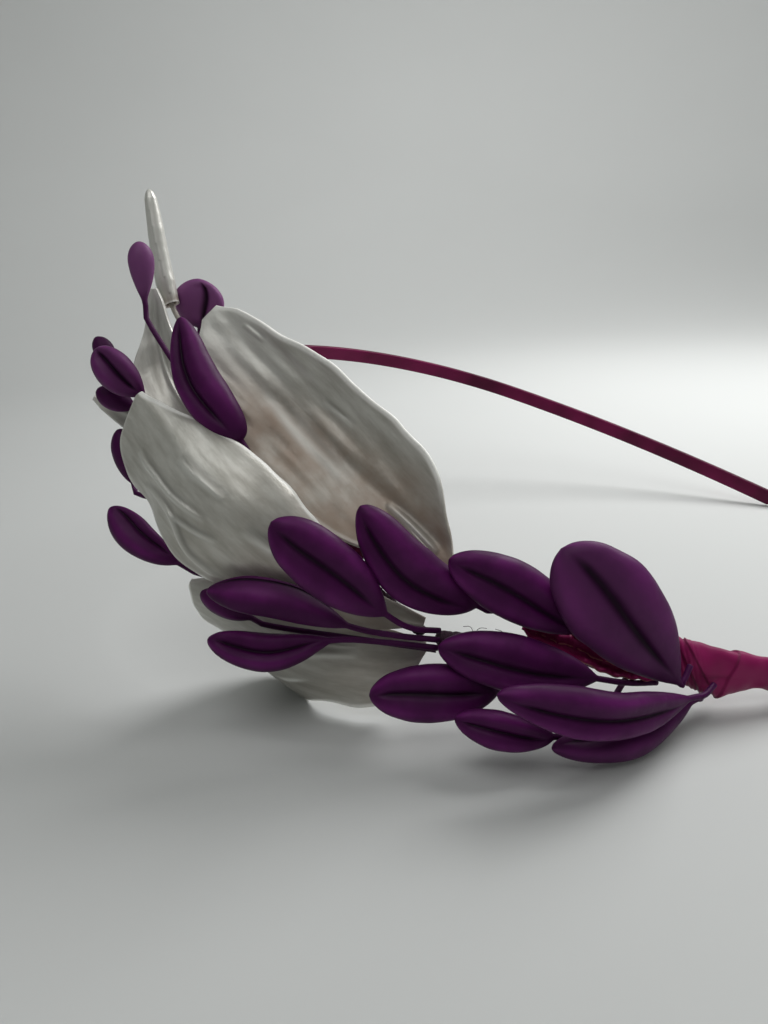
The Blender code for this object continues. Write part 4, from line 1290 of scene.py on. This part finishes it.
class FASCINATOR_OT_stage(bpy.types.Operator):
    """Set up the table, the lights and the camera"""
    bl_idname = "fascinator.stage"
    bl_label = "Table, lights and camera"

    # The table is a shallow bowl: flat from its innermost ring to its foot, then an arc, then a wall that
    # leans out
    sides = 96
    middle = 0.02
    foot = 0.42
    arc_radius = 0.70
    arc_turn = math.radians(75.0)
    wall_top = 1.6
    wall_lean = 0.05
    # Area lights: name, place, what it is aimed at, size, power and how wide they spread in degrees
    lights = (
        ("window", (0.14, 0.21, 0.31), (0.03, 0.06, 0.0), 0.28, 1.35, 180.0),
        ("wall wash", (0.10, 0.10, 0.90), (-0.20, 0.75, 0.30), 0.50, 2.1, 100.0),
        ("front", (0.02, -0.30, 0.60), (0.0, -0.02, 0.03), 0.50, 0.95, 180.0),
    )
    sky = (0.95, 1.0, 0.98)
    sky_strength = 0.23

    def bowl(self):
        """Rings about the upright axis: the profile's radius and height at each row, turned a full round.
        Its faces are those of a tube turned inside out, closed in the middle of the floor."""
        turn = np.linspace(0, self.arc_turn, 24)
        flat = np.linspace(self.middle, self.foot, 12)[:-1]
        radius = np.concatenate([flat, self.foot + self.arc_radius * np.sin(turn)])
        height = np.concatenate([0 * flat, self.arc_radius * (1 - np.cos(turn))])
        radius = np.append(radius, radius[-1] + self.wall_lean)
        height = np.append(height, self.wall_top)
        around = full_turn(self.sides)
        points = np.stack([radius[:, None] * np.cos(around), radius[:, None] * np.sin(around),
                           height[:, None] + 0 * around], axis=-1)
        quads, fans = tube_faces(len(radius), self.sides)
        faces = quads[:, ::-1].tolist() + fans[:self.sides, ::-1].tolist()
        return np.vstack([points.reshape(-1, 3), (0.0, 0.0, 0.0)]), faces

    def aimed(self, place, target):
        """The turn that points an object's -Z axis from a place to a target."""
        back = unit(np.array(place) - np.array(target))
        right = unit(np.cross((0.0, 0.0, 1.0), back))
        turn = np.stack([right, np.cross(back, right), back], axis=1)
        return Matrix.Translation(place) @ Matrix(turn.tolist()).to_4x4()

    def execute(self, context):
        """The lights are discs aimed at their targets. The camera looks along +Y, then is panned about the
        upright axis, tilted about its own side axis and rolled about its line of sight."""
        stage = settings().stage
        points, faces = self.bowl()
        mesh = bpy.data.meshes.new("table")
        mesh.from_pydata(points.tolist(), [], faces)
        mesh.shade_smooth()
        mesh.materials.append(table_top("pale table"))
        table = bpy.data.objects.new("table", mesh)
        context.scene.collection.objects.link(table)
        for name, place, target, size, power, spread in self.lights:
            data = bpy.data.lights.new(name, "AREA")
            data.shape = "DISK"
            data.size = size
            data.energy = power
            data.spread = math.radians(spread)
            lamp = bpy.data.objects.new(name, data)
            lamp.matrix_world = self.aimed(place, target)
            lamp.visible_camera = False
            context.scene.collection.objects.link(lamp)
        world = bpy.data.worlds.new("room")
        world.use_nodes = True
        room = world.node_tree
        feed(room, room.nodes["Background"], {"Color": (*self.sky, 1.0), "Strength": self.sky_strength})
        context.scene.world = world
        data = bpy.data.cameras.new("camera")
        data.sensor_width = 36.0
        data.lens = stage.camera_lens
        data.clip_start = 0.005
        camera = bpy.data.objects.new("camera", data)
        turn = (Matrix.Rotation(stage.camera_pan, 4, "Z")
                @ Matrix.Rotation(math.pi / 2 - stage.camera_tilt, 4, "X")
                @ Matrix.Rotation(stage.camera_roll, 4, "Z"))
        camera.matrix_world = Matrix.Translation(stage.camera_place) @ turn
        context.scene.collection.objects.link(camera)
        context.scene.camera = camera
        context.scene.view_settings.view_transform = "Standard"
        return {"FINISHED"}


class FASCINATOR_PT_panel(bpy.types.Panel):
    """Buttons that build the fascinator piece by piece"""
    bl_idname = "FASCINATOR_PT_panel"
    bl_label = "Headband fascinator"
    bl_space_type = "VIEW_3D"
    bl_region_type = "UI"
    bl_category = "Fascinator"

    def draw(self, context):
        """A button for each operator, then a box for each group of sizes and colours."""
        for operator in OPERATORS:
            self.layout.operator(operator.bl_idname)
        for group in ("hoop", "ribbon", "wires", "pods", "leaves", "stage"):
            box = self.layout.box()
            holder = getattr(context.scene.fascinator, group)
            box.label(text=group.capitalize())
            for name in holder.bl_rna.properties.keys():
                if name not in ("rna_type", "name"):
                    box.prop(holder, name)


OPERATORS = (
    FASCINATOR_OT_stage,
    FASCINATOR_OT_band,
    FASCINATOR_OT_binding,
    FASCINATOR_OT_ribbon_end,
    FASCINATOR_OT_wires,
    FASCINATOR_OT_pods,
    FASCINATOR_OT_leaves,
    FASCINATOR_OT_bud,
)
CLASSES = (
    HoopSizes,
    RibbonLooks,
    WireLooks,
    PodLooks,
    LeafLooks,
    StageSettings,
    FascinatorSettings,
    *OPERATORS,
    FASCINATOR_PT_panel,
)


def register():
    """Makes the classes known, and gives the scene its sizes and colours."""
    for made in CLASSES:
        bpy.utils.register_class(made)
    bpy.types.Scene.fascinator = bpy.props.PointerProperty(
        name="Fascinator", description="Sizes and colours of the fascinator", type=FascinatorSettings)


def unregister():
    """Takes away what register() added, in the opposite order."""
    del bpy.types.Scene.fascinator
    for made in reversed(CLASSES):
        bpy.utils.unregister_class(made)


def main():
    """Builds every piece in turn."""
    register()
    bpy.ops.fascinator.stage()
    bpy.ops.fascinator.band()
    bpy.ops.fascinator.binding()
    bpy.ops.fascinator.ribbon_end()
    bpy.ops.fascinator.wires()
    bpy.ops.fascinator.pods()
    bpy.ops.fascinator.leaves()
    bpy.ops.fascinator.bud()


if __name__ == "__main__":
    main()
